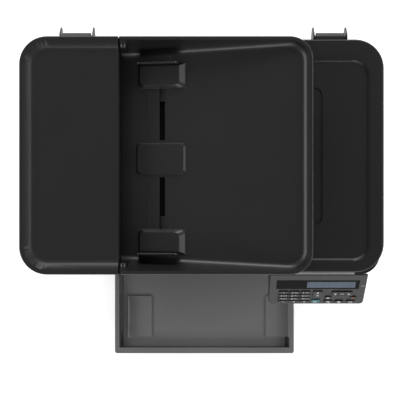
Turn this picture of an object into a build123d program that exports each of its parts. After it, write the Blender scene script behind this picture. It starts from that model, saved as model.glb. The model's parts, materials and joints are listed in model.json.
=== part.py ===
"""Black laser printer with a document feeder, a flatbed scanner, a tilted key panel and a folding paper tray.

Millimetres, +Z up, the front faces -Y. The origin is the middle of the footprint, at the level of the feet.
"""

import os
from math import atan2, cos, degrees, hypot, pi, radians, sin

from build123d import *

os.makedirs("parts", exist_ok=True)

# Levels, from the table upwards
foot_height = 5.0
cover_height = 193.0
scanner_gap = 2.5
scanner_height = 36.5
lid_gap = 1.0
lid_height = 12.0
feeder_height = 56.0
cover_bottom = foot_height
cover_top = cover_bottom + cover_height
scanner_bottom = cover_top + scanner_gap
scanner_top = scanner_bottom + scanner_height
lid_bottom = scanner_top + lid_gap
lid_top = lid_bottom + lid_height
feeder_top = lid_top + feeder_height

# Walls and fits
wall = 2.6
skin = 2.4
seat = 0.2
play = 0.4
running = 0.05
hinge_play = 0.5

# Printer body, seen from above
body_width = 412.0
body_depth = 276.0
body_centre_y = 50.0
body_corner = 22.0
side_cover_reach = 30.0
body_side = body_width / 2
body_front = body_centre_y - body_depth / 2
body_rear = body_centre_y + body_depth / 2
inner_side = body_side - wall
inner_front = body_front + wall
inner_rear = body_rear - wall
inner_corner = body_corner - wall

# Paper path
sheet_width = 216.0
paper_centre_x = 6.0
bin_clearance = 20.0
bin_width = sheet_width + bin_clearance
bin_length = 188.0
deck_front_height = 147.0
deck_rear_height = 125.0
deck_thickness = 3.0
bin_left = paper_centre_x - bin_width / 2
bin_right = paper_centre_x + bin_width / 2
bin_rear = body_front + bin_length
deck_front_y = body_front + 15.0
deck_pivot_y = bin_rear - 4.0
deck_slope = (deck_front_height - deck_rear_height) / (deck_pivot_y - deck_front_y)

# Folding paper tray at the front
tray_clearance = 28.0
tray_width = sheet_width + tray_clearance
tray_length = 123.0
tray_wall = 6.0
tray_depth = 16.0
tray_groove = 5.0
tray_floor = 3.0
tray_lip = 8.0
tray_pivot_y = body_front + 4.0
tray_pivot_z = 26.0
tray_pin_radius = 3.0
tray_pin_length = 5.0
tray_half = tray_width / 2
tray_front = tray_pivot_y - tray_length
tray_bottom = tray_pivot_z - 6.0
tray_recess = 22.0
tray_tail = 4.0

# Scanner, lid and feeder, seen from above
scanner_width = 414.0
scanner_side = scanner_width / 2
paper_centre_y = 49.6
feeder_front_margin = 23.6
feeder_rear_margin = 28.7
feeder_front = paper_centre_y - sheet_width / 2 - feeder_front_margin
feeder_rear = paper_centre_y + sheet_width / 2 + feeder_rear_margin
lid_overhang = 3.0
lid_side = scanner_side + lid_overhang
lid_front = feeder_front - 0.9
lid_rear = feeder_rear + 4.4

# Chassis and paper floor
chassis_thickness = 3.0
paper_floor_reach = 96.0
paper_slot_height = 14.0
chassis_top = cover_bottom + chassis_thickness
foot_radius = 9.0
foot_inset_x = 36.0
foot_inset_y = 34.0


def block(low, high, mode=Mode.ADD):
    """A box between two corners."""
    with Locations(tuple((a + b) / 2 for a, b in zip(low, high))):
        Box(*(b - a for a, b in zip(low, high)), mode=mode)


def rod(start, direction, radius, length, mode=Mode.ADD):
    """A round bar from a start point along a direction."""
    with BuildSketch(Plane(origin=start, z_dir=direction)) as outline:
        Circle(radius)
    extrude(outline.sketch, amount=length, mode=mode)


def rounded_slab(low, high, radius, mode=Mode.ADD):
    """A slab with round upright corners between two corner points."""
    with BuildSketch(Plane.XY.offset(low[2])) as outline:
        with Locations(((low[0] + high[0]) / 2, (low[1] + high[1]) / 2)):
            RectangleRounded(high[0] - low[0], high[1] - low[1], radius)
    extrude(outline.sketch, amount=high[2] - low[2], mode=mode)


def side_profile(x, points, length, mode=Mode.ADD):
    """An outline in Y and Z, extruded along X from x."""
    with BuildSketch(Plane.YZ.offset(x)) as outline:
        Polygon(*points, align=None)
    extrude(outline.sketch, amount=length, mode=mode)


def front_profile(y, points, length, mode=Mode.ADD):
    """An outline in X and Z, extruded along Y from y."""
    with BuildSketch(Plane(origin=(0, y, 0), x_dir=(1, 0, 0), z_dir=(0, -1, 0))) as outline:
        Polygon(*points, align=None)
    extrude(outline.sketch, amount=-length, mode=mode)


def deck_height(y):
    """The level of the output deck's top at a depth y."""
    return deck_rear_height + deck_slope * (deck_pivot_y - y)


def save(builder, name):
    """Labels a finished piece and writes its file."""
    builder.part.label = name
    export_step(builder.part, f"parts/{name}.step")


def cover_ring():
    """The upright skin all round the printer body."""
    rounded_slab((-body_side, body_front, cover_bottom), (body_side, body_rear, cover_top), body_corner)
    rounded_slab((-inner_side, inner_front, cover_bottom), (inner_side, inner_rear, cover_top),
                 inner_corner, Mode.SUBTRACT)


# Side covers: the skin's two ends, with the round corners and a row of cooling slots
seam_x = body_side - side_cover_reach
vent_slots = 9
vent_pitch = 9.0
vent_width = 3.0
vent_low = 58.0
vent_high = 118.0
vent_centre_y = 96.0

for side, name in ((-1, "left_cover"), (1, "right_cover")):
    with BuildPart() as side_cover:
        cover_ring()
        split(bisect_by=Plane.YZ.offset(side * seam_x), keep=Keep.TOP if side > 0 else Keep.BOTTOM)
        for number in range(vent_slots):
            slot_y = vent_centre_y + (number - (vent_slots - 1) / 2) * vent_pitch
            block((side * body_side - wall * 1.5, slot_y - vent_width / 2, vent_low),
                  (side * body_side + wall * 1.5, slot_y + vent_width / 2, vent_high), Mode.SUBTRACT)
    save(side_cover, name)

# Front cover: two posts beside the tray, a sill under it and the recessed wall that the closed tray faces
tray_gap = 1.0
opening_side = tray_half + tray_gap
recess_wall_y = body_front + tray_recess
sill_top = tray_bottom - 6.0
closed_top = tray_pivot_z + tray_length + tray_gap
ear_thickness = 5.0
ear_radius = 8.0
ear_side = tray_half + play + ear_thickness + seat
ear_top = tray_pivot_z + ear_radius
button_inset = 42.0
button_x = -body_side + button_inset
button_z = 108.0
button_radius = 7.0

with BuildPart() as front_cover:
    cover_ring()
    split(bisect_by=Plane.YZ.offset(-seam_x), keep=Keep.TOP)
    split(bisect_by=Plane.YZ.offset(seam_x), keep=Keep.BOTTOM)
    split(bisect_by=Plane.XZ.offset(-body_centre_y), keep=Keep.TOP)
    block((-opening_side, body_front - wall, sill_top), (opening_side, body_front + 2 * wall, closed_top),
          Mode.SUBTRACT)
    for side in (-1, 1):
        near = side * tray_half
        far = side * ear_side
        block((min(near, far), body_front - wall, chassis_top - 1.0 - seat),
              (max(near, far), body_front + 2 * wall, ear_top + play), Mode.SUBTRACT)
    block((bin_left, body_front - wall, deck_front_height), (bin_right, body_front + 2 * wall, cover_top),
          Mode.SUBTRACT)
    wall_low = tray_pivot_z + paper_slot_height
    wall_high = deck_height(recess_wall_y + wall) - deck_thickness - seat
    block((-opening_side - wall, recess_wall_y, wall_low),
          (opening_side + wall, recess_wall_y + wall, wall_high))
    for side in (-1, 1):
        near = side * opening_side
        far = side * (opening_side + wall)
        block((min(near, far), inner_front, wall_low), (max(near, far), recess_wall_y, wall_high))
    rod((button_x, body_front - wall, button_z), (0, 1, 0), button_radius + play, 3 * wall, Mode.SUBTRACT)
save(front_cover, "front_cover")

# Rear cover: the skin between the side covers, with openings for the mains inlet and the data sockets
inlet_inset = 48.0
inlet_x = -body_side + inlet_inset
inlet_z = 42.0
inlet_width = 28.0
inlet_height = 21.0
ports_inset = 94.0
ports_x = -body_side + ports_inset
ports_z = 42.0
ports_width = 44.0
ports_height = 18.0
rear_vents = 8
rear_vent_pitch = 12.0
rear_vent_x = 60.0

with BuildPart() as rear_cover:
    cover_ring()
    split(bisect_by=Plane.YZ.offset(-seam_x), keep=Keep.TOP)
    split(bisect_by=Plane.YZ.offset(seam_x), keep=Keep.BOTTOM)
    split(bisect_by=Plane.XZ.offset(-body_centre_y), keep=Keep.BOTTOM)
    for socket_x, socket_z, socket_width, socket_height in (
        (inlet_x, inlet_z, inlet_width, inlet_height),
        (ports_x, ports_z, ports_width, ports_height),
    ):
        block((socket_x - socket_width / 2, body_rear - 2 * wall, socket_z - socket_height / 2),
              (socket_x + socket_width / 2, body_rear + wall, socket_z + socket_height / 2), Mode.SUBTRACT)
    for number in range(rear_vents):
        slot_x = rear_vent_x + (number - (rear_vents - 1) / 2) * rear_vent_pitch
        block((slot_x - vent_width / 2, body_rear - 2 * wall, vent_low),
              (slot_x + vent_width / 2, body_rear + wall, vent_high), Mode.SUBTRACT)
save(rear_cover, "rear_cover")

# Bottom chassis: a plate with the paper floor on ribs, and the two ears that carry the tray's pins
rib_x = (-96.0, 0.0, 96.0)
paper_floor_half = tray_half - tray_wall - 1.0
paper_floor_front = tray_pivot_y + tray_tail + 2.0
paper_floor_top = tray_pivot_z - 1.0

with BuildPart() as bottom_chassis:
    rounded_slab((-inner_side + seat, inner_front + seat, cover_bottom),
                 (inner_side - seat, inner_rear - seat, chassis_top), inner_corner)
    block((-paper_floor_half, paper_floor_front, paper_floor_top - chassis_thickness),
          (paper_floor_half, paper_floor_reach, paper_floor_top))
    for x in rib_x:
        block((x - wall / 2, paper_floor_front, chassis_top),
              (x + wall / 2, paper_floor_reach, paper_floor_top - 1.0))
    for side in (-1, 1):
        near = side * (tray_half + play)
        far = side * (tray_half + play + ear_thickness)
        low_x, high_x = min(near, far), max(near, far)
        block((low_x, tray_pivot_y - ear_radius, chassis_top - 1.0),
              (high_x, tray_pivot_y + ear_radius, tray_pivot_z))
        rod((low_x, tray_pivot_y, tray_pivot_z), (1, 0, 0), ear_radius, ear_thickness)
        rod((low_x - 1, tray_pivot_y, tray_pivot_z), (1, 0, 0), tray_pin_radius + running, ear_thickness + 2,
            Mode.SUBTRACT)
save(bottom_chassis, "bottom_chassis")

# Feet: four rubber pads under the chassis
with BuildPart() as rubber_feet:
    for foot_x in (-body_side + foot_inset_x, body_side - foot_inset_x):
        for foot_y in (body_front + foot_inset_y, body_rear - foot_inset_y):
            rod((foot_x, foot_y, 0), (0, 0, 1), foot_radius, foot_height)
save(rubber_feet, "rubber_feet")

# Paper tray: side bars, a deep groove inside each bar, a floor, a front lip and the two hinge pins
groove_inner = tray_half - tray_wall - tray_groove

with BuildPart() as front_tray:
    block((-tray_half, tray_front, tray_bottom),
          (tray_half, tray_pivot_y + tray_tail, tray_bottom + tray_depth))
    block((-tray_half + tray_wall, tray_front + tray_lip, tray_bottom + tray_floor),
          (tray_half - tray_wall, tray_pivot_y + 2 * tray_tail, tray_bottom + 2 * tray_depth), Mode.SUBTRACT)
    block((-groove_inner, tray_front + tray_lip - 1.0, tray_bottom + 1.0),
          (groove_inner, tray_pivot_y + tray_tail, tray_pivot_z))
    corner_edges = front_tray.edges().filter_by(Axis.Z).group_by(Axis.Y)[0]
    fillet(corner_edges, tray_wall / 2)
    for side in (-1, 1):
        rod((side * (tray_half - 1.0), tray_pivot_y, tray_pivot_z), (side, 0, 0), tray_pin_radius,
            tray_pin_length + 1.0)
save(front_tray, "front_tray")

# Scanner hinge: lugs on the top cover, pins in the scanner housing
scanner_axis_y = body_rear - 4.0
scanner_axis_z = scanner_bottom + 2.7
scanner_pin_radius = 2.0
scanner_lug_radius = 3.4
scanner_lug_width = 6.0
scanner_lug_inset = 29.0
scanner_lug_x = scanner_side - scanner_lug_inset
scanner_lug_foot = 4.4

# Cartridge door hinge: pins at the door's rear edge, in the walls of the output bin
door_pin_radius = 2.0
door_pivot_z = deck_rear_height - deck_thickness / 2
bin_wall_low = door_pivot_z - 6.0
exit_slot_top = deck_rear_height + 16.0

# Top cover: a frame round the output bin, with the bin's walls and the two lugs of the scanner hinge
with BuildPart() as top_cover:
    rounded_slab((-inner_side + seat, inner_front + seat, cover_top - wall),
                 (inner_side - seat, inner_rear - seat, cover_top), inner_corner)
    block((bin_left - wall, inner_front + seat, bin_wall_low), (bin_right + wall, bin_rear + wall, cover_top))
    block((bin_left, body_front - wall, bin_wall_low - 1), (bin_right, bin_rear, cover_top + 1),
          Mode.SUBTRACT)
    block((bin_left - 2 * wall, inner_front, 0), (bin_right + 2 * wall, recess_wall_y + 2 * wall, closed_top),
          Mode.SUBTRACT)
    block((bin_left, bin_rear - 1, bin_wall_low - 1), (bin_right, bin_rear + 2 * wall, exit_slot_top),
          Mode.SUBTRACT)
    for lug_x in (-scanner_lug_x, scanner_lug_x):
        low_x = lug_x - scanner_lug_width / 2
        high_x = lug_x + scanner_lug_width / 2
        block((low_x, inner_rear - seat - scanner_lug_foot, cover_top - wall),
              (high_x, inner_rear - seat, scanner_axis_z))
        rod((low_x, scanner_axis_y, scanner_axis_z), (1, 0, 0), scanner_lug_radius, scanner_lug_width)
        rod((low_x - 1, scanner_axis_y, scanner_axis_z), (1, 0, 0), scanner_pin_radius + running,
            scanner_lug_width + 2, Mode.SUBTRACT)
    rod((bin_left - 2 * wall, deck_pivot_y, door_pivot_z), (1, 0, 0), door_pin_radius + running,
        bin_width + 4 * wall, Mode.SUBTRACT)
save(top_cover, "top_cover")

# Cartridge door: the sloping floor of the output bin, hinged at its rear edge
door_pin_length = 2.2
door_pin_root = 4.0

with BuildPart() as cartridge_door:
    side_profile(bin_left + play, [
        (deck_front_y, deck_height(deck_front_y) - deck_thickness),
        (deck_pivot_y, deck_rear_height - deck_thickness),
        (deck_pivot_y, deck_rear_height),
        (deck_front_y, deck_height(deck_front_y)),
    ], bin_width - 2 * play)
    rod((bin_left + play, deck_pivot_y, door_pivot_z), (1, 0, 0), deck_thickness / 2, bin_width - 2 * play)
    for side, wall_x in ((-1, bin_left + play), (1, bin_right - play)):
        rod((wall_x - side * door_pin_root, deck_pivot_y, door_pivot_z), (side, 0, 0), door_pin_radius,
            door_pin_root + play + door_pin_length)
save(cartridge_door, "cartridge_door")

# Rollers: pickup, transfer and the fuser's pair, each on a shaft that turns in the side frames
frame_x = 148.5
frame_thickness = 3.0
shaft_radius = 4.0
shaft_overhang = 1.0
pickup_y = 88.0
pickup_radius = 16.0
pickup_z = paper_floor_top + paper_slot_height + pickup_radius + 1.0
transfer_y = 58.0
transfer_z = 84.0
transfer_radius = 8.0
drum_radius = 12.0
drum_z = transfer_z + transfer_radius + drum_radius + play
fuser_y = 144.0
heat_z = 140.0
fuser_radius = 12.0
pressure_z = heat_z - 2 * fuser_radius - play
frame_front = body_front + 33.0
frame_rear = inner_rear - 16.0
frame_step = bin_rear + 2 * wall
frame_low_top = bin_wall_low - 1.0
frame_high_top = 174.0

# Drive: a pinion on the motor's shaft and a gear on the heat roller
gear_module = 1.5
pinion_teeth = 14
gear_teeth = 42
gear_width = 6.0
gear_x = frame_x + frame_thickness + 1.5
pinion_pitch = gear_module * pinion_teeth / 2
gear_pitch = gear_module * gear_teeth / 2
motor_angle = radians(53.13)
motor_y = fuser_y - (pinion_pitch + gear_pitch) * cos(motor_angle)
motor_z = heat_z - (pinion_pitch + gear_pitch) * sin(motor_angle)
motor_radius = 18.0
motor_length = 20.0
motor_x = gear_x + gear_width + 3.0
motor_shaft_radius = 2.0
motor_shaft_length = 30.0

# Inner frame: two side plates with the shafts' bores, joined by the hood over the fuser's rollers
hood_reach = fuser_radius + 4.0

with BuildPart() as inner_frame:
    for side in (-1, 1):
        near_x = side * frame_x if side > 0 else side * (frame_x + frame_thickness)
        side_profile(near_x, [
            (frame_front, chassis_top), (frame_rear, chassis_top), (frame_rear, frame_high_top),
            (frame_step, frame_high_top), (frame_step, frame_low_top), (frame_front, frame_low_top),
        ], frame_thickness)
    shafts = [(pickup_y, pickup_z), (transfer_y, transfer_z), (fuser_y, heat_z), (fuser_y, pressure_z)]
    for shaft_y, shaft_z in shafts:
        rod((-frame_x - 2 * frame_thickness, shaft_y, shaft_z), (1, 0, 0), shaft_radius + running,
            2 * frame_x + 4 * frame_thickness, Mode.SUBTRACT)
    hood_z = heat_z + hood_reach
    block((-frame_x, fuser_y - hood_reach, hood_z), (frame_x, fuser_y + hood_reach, hood_z + wall))
    block((-frame_x, fuser_y + hood_reach, pressure_z), (frame_x, fuser_y + hood_reach + wall, hood_z + wall))
save(inner_frame, "inner_frame")


def gear_outline(teeth, phase):
    """Straight-sided teeth round a disc, with slack so that a pair runs free."""
    pitch_radius = gear_module * teeth / 2
    quarter = pi * gear_module / 4
    root = pitch_radius - 1.25 * gear_module
    tip = pitch_radius + 0.9 * gear_module
    root_half = quarter * 1.2
    tip_half = quarter * 0.4
    Circle(root)
    with PolarLocations(0, teeth, start_angle=phase):
        Polygon((root - 1, -root_half), (root, -root_half), (tip, -tip_half), (tip, tip_half),
                (root, root_half), (root - 1, root_half), align=None)


roller_rows = (
    ("pickup_roller", pickup_y, pickup_z, pickup_radius, paper_centre_x, 26.0),
    ("transfer_roller", transfer_y, transfer_z, transfer_radius, 0.0, 2 * frame_x - 44.0),
    ("pressure_roller", fuser_y, pressure_z, fuser_radius, 0.0, 2 * frame_x - 34.0),
    ("heat_roller", fuser_y, heat_z, fuser_radius, 0.0, 2 * frame_x - 34.0),
)
shaft_end = frame_x + frame_thickness + shaft_overhang

for name, roller_y, roller_z, roller_radius, middle_x, roller_length in roller_rows:
    with BuildPart() as roller:
        rod((middle_x - roller_length / 2, roller_y, roller_z), (1, 0, 0), roller_radius, roller_length)
        if name == "heat_roller":
            rod((-shaft_end, roller_y, roller_z), (1, 0, 0), shaft_radius, shaft_end + gear_x + gear_width)
            gear_plane = Plane(origin=(gear_x, roller_y, roller_z), x_dir=(0, 1, 0), z_dir=(1, 0, 0))
            with BuildSketch(gear_plane) as teeth:
                gear_outline(gear_teeth, 180 + degrees(motor_angle) + 180 / gear_teeth)
            extrude(teeth.sketch, amount=gear_width)
        else:
            rod((-shaft_end, roller_y, roller_z), (1, 0, 0), shaft_radius, 2 * shaft_end)
    save(roller, name)

with BuildPart() as motor_pinion:
    with BuildSketch(Plane(origin=(gear_x, motor_y, motor_z), x_dir=(0, 1, 0), z_dir=(1, 0, 0))) as teeth:
        gear_outline(pinion_teeth, degrees(motor_angle))
    extrude(teeth.sketch, amount=gear_width)
    rod((gear_x, motor_y, motor_z), (1, 0, 0), motor_shaft_radius, motor_shaft_length)
save(motor_pinion, "motor_pinion")

# Motor: a round can on three posts from the right frame
post_radius = 2.5
post_circle = motor_radius - 3.5

with BuildPart() as main_motor:
    rod((motor_x, motor_y, motor_z), (1, 0, 0), motor_radius, motor_length)
    for turn in (90, 180, 270):
        post_angle = motor_angle + radians(turn)
        post_y = motor_y + post_circle * cos(post_angle)
        post_z = motor_z + post_circle * sin(post_angle)
        rod((frame_x + frame_thickness, post_y, post_z), (1, 0, 0), post_radius,
            motor_x - frame_x - frame_thickness + 1)
    rod((motor_x - 1, motor_y, motor_z), (1, 0, 0), motor_shaft_radius + running, motor_length + 2,
        Mode.SUBTRACT)
save(main_motor, "main_motor")

# Laser unit: a flat box between the side frames, behind the recessed front wall
laser_half = 92.0
laser_front = frame_front + 2.0
laser_depth = 62.0
laser_low = 62.0
laser_high = 84.0
laser_ear = 6.0

with BuildPart() as laser_unit:
    block((-laser_half, laser_front, laser_low), (laser_half, laser_front + laser_depth, laser_high))
    block((-frame_x, laser_front + laser_ear, laser_low),
          (frame_x, laser_front + laser_depth - laser_ear, laser_low + 2 * wall))
    block((-laser_half + 12, laser_front + laser_depth - 1, laser_high - 8),
          (laser_half - 12, laser_front + laser_depth + 4, laser_high - 3))
save(laser_unit, "laser_unit")

# Toner cartridge: a hopper with the drum turning between its end plates
cartridge_end = frame_x - play
cartridge_plate = 5.0
cartridge_front = laser_front + 10.0
cartridge_low = laser_high + 6.0
cartridge_high = bin_wall_low - 1.0
hopper_rear = transfer_y - drum_radius - 2.0
drum_half = cartridge_end - cartridge_plate - 3.0

with BuildPart() as toner_cartridge:
    block((-cartridge_end, cartridge_front, cartridge_low), (cartridge_end, hopper_rear, cartridge_high))
    for side in (-1, 1):
        near = side * (cartridge_end - cartridge_plate)
        far = side * cartridge_end
        block((min(near, far), hopper_rear - 1, cartridge_low),
              (max(near, far), transfer_y + drum_radius, cartridge_high))
    rod((-cartridge_end - 1, transfer_y, drum_z), (1, 0, 0), shaft_radius + running, 2 * cartridge_end + 2,
        Mode.SUBTRACT)
save(toner_cartridge, "toner_cartridge")

with BuildPart() as drum:
    rod((-drum_half, transfer_y, drum_z), (1, 0, 0), drum_radius, 2 * drum_half)
    rod((-cartridge_end, transfer_y, drum_z), (1, 0, 0), shaft_radius, 2 * cartridge_end)
save(drum, "imaging_drum")

# Circuit boards: the main board on the left, the mains supply on the right, both upright on the chassis
board_thickness = 1.6
board_x = 178.0
board_front = 20.0
board_rear = 168.0
chips = [(52, 60, 22, 3), (92, 44, 34, 6), (64, 28, 14, 4), (136, 50, 24, 9)]

with BuildPart() as circuit_boards:
    for side, board_high in ((-1, 104.0), (1, 80.0)):
        face = side * board_x
        back = side * (board_x + board_thickness)
        block((min(face, back), board_front, chassis_top), (max(face, back), board_rear, board_high))
        for chip_y, chip_z, chip_size, chip_height in chips:
            tip = face - side * chip_height
            block((min(face, tip), chip_y - chip_size / 2, chip_z - chip_size / 2),
                  (max(face, tip), chip_y + chip_size / 2, chip_z + chip_size / 2))
save(circuit_boards, "circuit_boards")

# Sockets in the rear cover: the mains inlet, then the data and telephone sockets
inlet_depth = 16.0
socket_depth = 11.2
pin_slot = 3.0

with BuildPart() as rear_sockets:
    block((inlet_x - inlet_width / 2 + seat, body_rear - inlet_depth, inlet_z - inlet_height / 2 + seat),
          (inlet_x + inlet_width / 2 - seat, body_rear, inlet_z + inlet_height / 2 - seat))
    block((inlet_x - inlet_width / 2 + wall, body_rear - socket_depth, inlet_z - inlet_height / 2 + wall),
          (inlet_x + inlet_width / 2 - wall, body_rear + 1, inlet_z + inlet_height / 2 - wall), Mode.SUBTRACT)
    for across, up in ((0, -pin_slot), (-2 * pin_slot, 2), (2 * pin_slot, 2)):
        pin_x = inlet_x + across
        pin_z = inlet_z + up
        block((pin_x - 1, body_rear - inlet_depth + 1, pin_z - 2), (pin_x + 1, body_rear - 5, pin_z + 2))
    block((ports_x - ports_width / 2 + seat, body_rear - inlet_depth, ports_z - ports_height / 2 + seat),
          (ports_x + ports_width / 2 - seat, body_rear - 0.4, ports_z + ports_height / 2 - seat))
    for across, port_width, port_height in ((-12.5, 12.5, 11.0), (2.5, 8.5, 8.0), (14.0, 9.5, 7.0)):
        port_x = ports_x + across
        block((port_x - port_width / 2, body_rear - socket_depth, ports_z - port_height / 2),
              (port_x + port_width / 2, body_rear + 1, ports_z + port_height / 2), Mode.SUBTRACT)
save(rear_sockets, "rear_sockets")

# Power button: a round cap through the front cover, held by its flange
button_proud = 1.6
button_flange = 2.0

with BuildPart() as power_button:
    rod((button_x, body_front - button_proud, button_z), (0, 1, 0), button_radius, button_proud + wall + 6.0)
    rod((button_x, inner_front + 0.3, button_z), (0, 1, 0), button_radius + button_flange, 1.6)
    fillet(power_button.edges().filter_by(GeomType.CIRCLE).sort_by(Axis.Y)[0], 0.8)
save(power_button, "power_button")

# Scanner housing: a closed flat box with the glass in its top, pins for the scanner hinge in its rear edge
scanner_front = body_front + 2.0
scanner_rear = body_rear + 0.5
scanner_corner = 24.0
glass_thickness = 3.0
glass_ledge = 6.0
glass_front = -58.0
glass_rear = 162.0
glass_length = 314.0
strip_inset = 10.0
strip_width = 19.0
strip_gap = 12.0
strip_left = -scanner_side + strip_inset
strip_right = strip_left + strip_width
glass_left = strip_right + strip_gap
glass_right = glass_left + glass_length
scanner_deck = 5.0
boss_width = 9.0

with BuildPart() as scanner_housing:
    rounded_slab((-scanner_side, scanner_front, scanner_bottom), (scanner_side, scanner_rear, scanner_top),
                 scanner_corner)
    rounded_slab((-scanner_side + wall, scanner_front + wall, scanner_bottom + wall),
                 (scanner_side - wall, scanner_rear - wall, scanner_top - scanner_deck),
                 scanner_corner - wall, Mode.SUBTRACT)
    for low_x, high_x in ((glass_left, glass_right), (strip_left, strip_right)):
        block((low_x - seat, glass_front - seat, scanner_top - glass_thickness - seat),
              (high_x + seat, glass_rear + seat, scanner_top + 1), Mode.SUBTRACT)
        ledge = glass_ledge if high_x - low_x > 4 * glass_ledge else glass_ledge / 3
        block((low_x + ledge, glass_front + ledge, scanner_top - 2 * scanner_deck),
              (high_x - ledge, glass_rear - ledge, scanner_top + 1), Mode.SUBTRACT)
    for lug_x in (-scanner_lug_x, scanner_lug_x):
        reach = scanner_lug_width / 2 + hinge_play
        block((lug_x - reach - boss_width, scanner_rear - 14, scanner_bottom),
              (lug_x + reach + boss_width, scanner_rear - 0.1, scanner_bottom + 12))
        block((lug_x - reach, scanner_rear - 13, scanner_bottom - 1),
              (lug_x + reach, scanner_rear + 1, scanner_axis_z + scanner_lug_radius + hinge_play),
              Mode.SUBTRACT)
        rod((lug_x - reach - 3, scanner_axis_y, scanner_axis_z), (1, 0, 0), scanner_pin_radius, 2 * reach + 6)
save(scanner_housing, "scanner_housing")

# Glass: the flatbed pane and the narrow strip that the feeder's pages pass over
with BuildPart() as scanner_glass:
    for low_x, high_x in ((glass_left, glass_right), (strip_left, strip_right)):
        block((low_x, glass_front, scanner_top - glass_thickness - seat),
              (high_x, glass_rear, scanner_top - seat))
save(scanner_glass, "scanner_glass")

# Scan carriage: the image sensor's bar on a rod across the housing
rail_y = 52.0
rail_z = scanner_bottom + 15.0
rail_radius = 4.0
carriage_x = (strip_left + strip_right) / 2
carriage_width = 22.0
carriage_low = scanner_bottom + wall + 3.0
carriage_high = scanner_top - scanner_deck - 1.0

with BuildPart() as scan_carriage:
    block((carriage_x - carriage_width / 2, glass_front + 2, carriage_low + 6),
          (carriage_x + carriage_width / 2, glass_rear - 2, carriage_high))
    block((carriage_x - carriage_width / 2, rail_y - 12, carriage_low),
          (carriage_x + carriage_width / 2, rail_y + 12, carriage_high))
    block((carriage_x - 4, glass_front + 6, carriage_high - 2),
          (carriage_x + 4, glass_rear - 6, carriage_high + 1), Mode.SUBTRACT)
    rod((carriage_x - carriage_width, rail_y, rail_z), (1, 0, 0), rail_radius + running, 2 * carriage_width,
        Mode.SUBTRACT)
save(scan_carriage, "scan_carriage")

with BuildPart() as carriage_rail:
    rod((-scanner_side + wall, rail_y, rail_z), (1, 0, 0), rail_radius, scanner_width - 2 * wall)
save(carriage_rail, "carriage_rail")

# Lid hinges: a back plate with two thin cheeks and a pin between them, at the left and the right
lid_axis_y = lid_rear + 2.8
lid_axis_z = lid_bottom + 2.5
lid_pin_radius = 3.0
cheek_thickness = 1.6
cheek_head = 6.5
hinge_tip = lid_axis_y + 13.5
hinge_drop = 30.0
hinge_centres = (-151.5, 147.5)
hinge_span = 37.0
knuckle_width = 33.5
knuckle_radius = 5.7
knuckle_rise = 1.5

with BuildPart() as lid_hinges:
    for hinge_x in hinge_centres:
        low_x = hinge_x - hinge_span / 2 - cheek_thickness
        high_x = hinge_x + hinge_span / 2
        block((low_x, scanner_rear, lid_axis_z - hinge_drop),
              (high_x + cheek_thickness, scanner_rear + cheek_thickness, scanner_top - 2))
        for cheek_x in (low_x, high_x):
            side_profile(cheek_x, [
                (scanner_rear, lid_axis_z - hinge_drop), (scanner_rear, scanner_top - 2),
                (scanner_rear + seat, lid_axis_z), (lid_axis_y - 1, lid_axis_z + cheek_head),
                (lid_axis_y + 5, lid_axis_z + cheek_head - 1), (hinge_tip, lid_axis_z - 6),
                (hinge_tip, lid_axis_z - 14),
            ], cheek_thickness)
        rod((low_x + cheek_thickness / 2, lid_axis_y, lid_axis_z), (1, 0, 0), lid_pin_radius,
            hinge_span + cheek_thickness)
save(lid_hinges, "lid_hinges")

# Flatbed lid: a shallow cap with a wide recess for ejected pages and a deeper one for fingers
lid_corner = 34.0
lid_rim = 3.0
recess_depth = 3.0
recess_front = lid_front + 11.5
recess_rear = lid_rear - 22.0
recess_left = -92.0
recess_right = lid_side - 15.3
recess_corner = 22.0
recess_slope = 5.0
finger_right = 138.0
finger_front = -27.3
finger_rear = 134.6
finger_width = 52.0
finger_depth = 1.6
lid_skin_bottom = lid_top - recess_depth - finger_depth - skin
window_left = strip_left + 3.0
window_right = strip_right - 3.0

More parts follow.
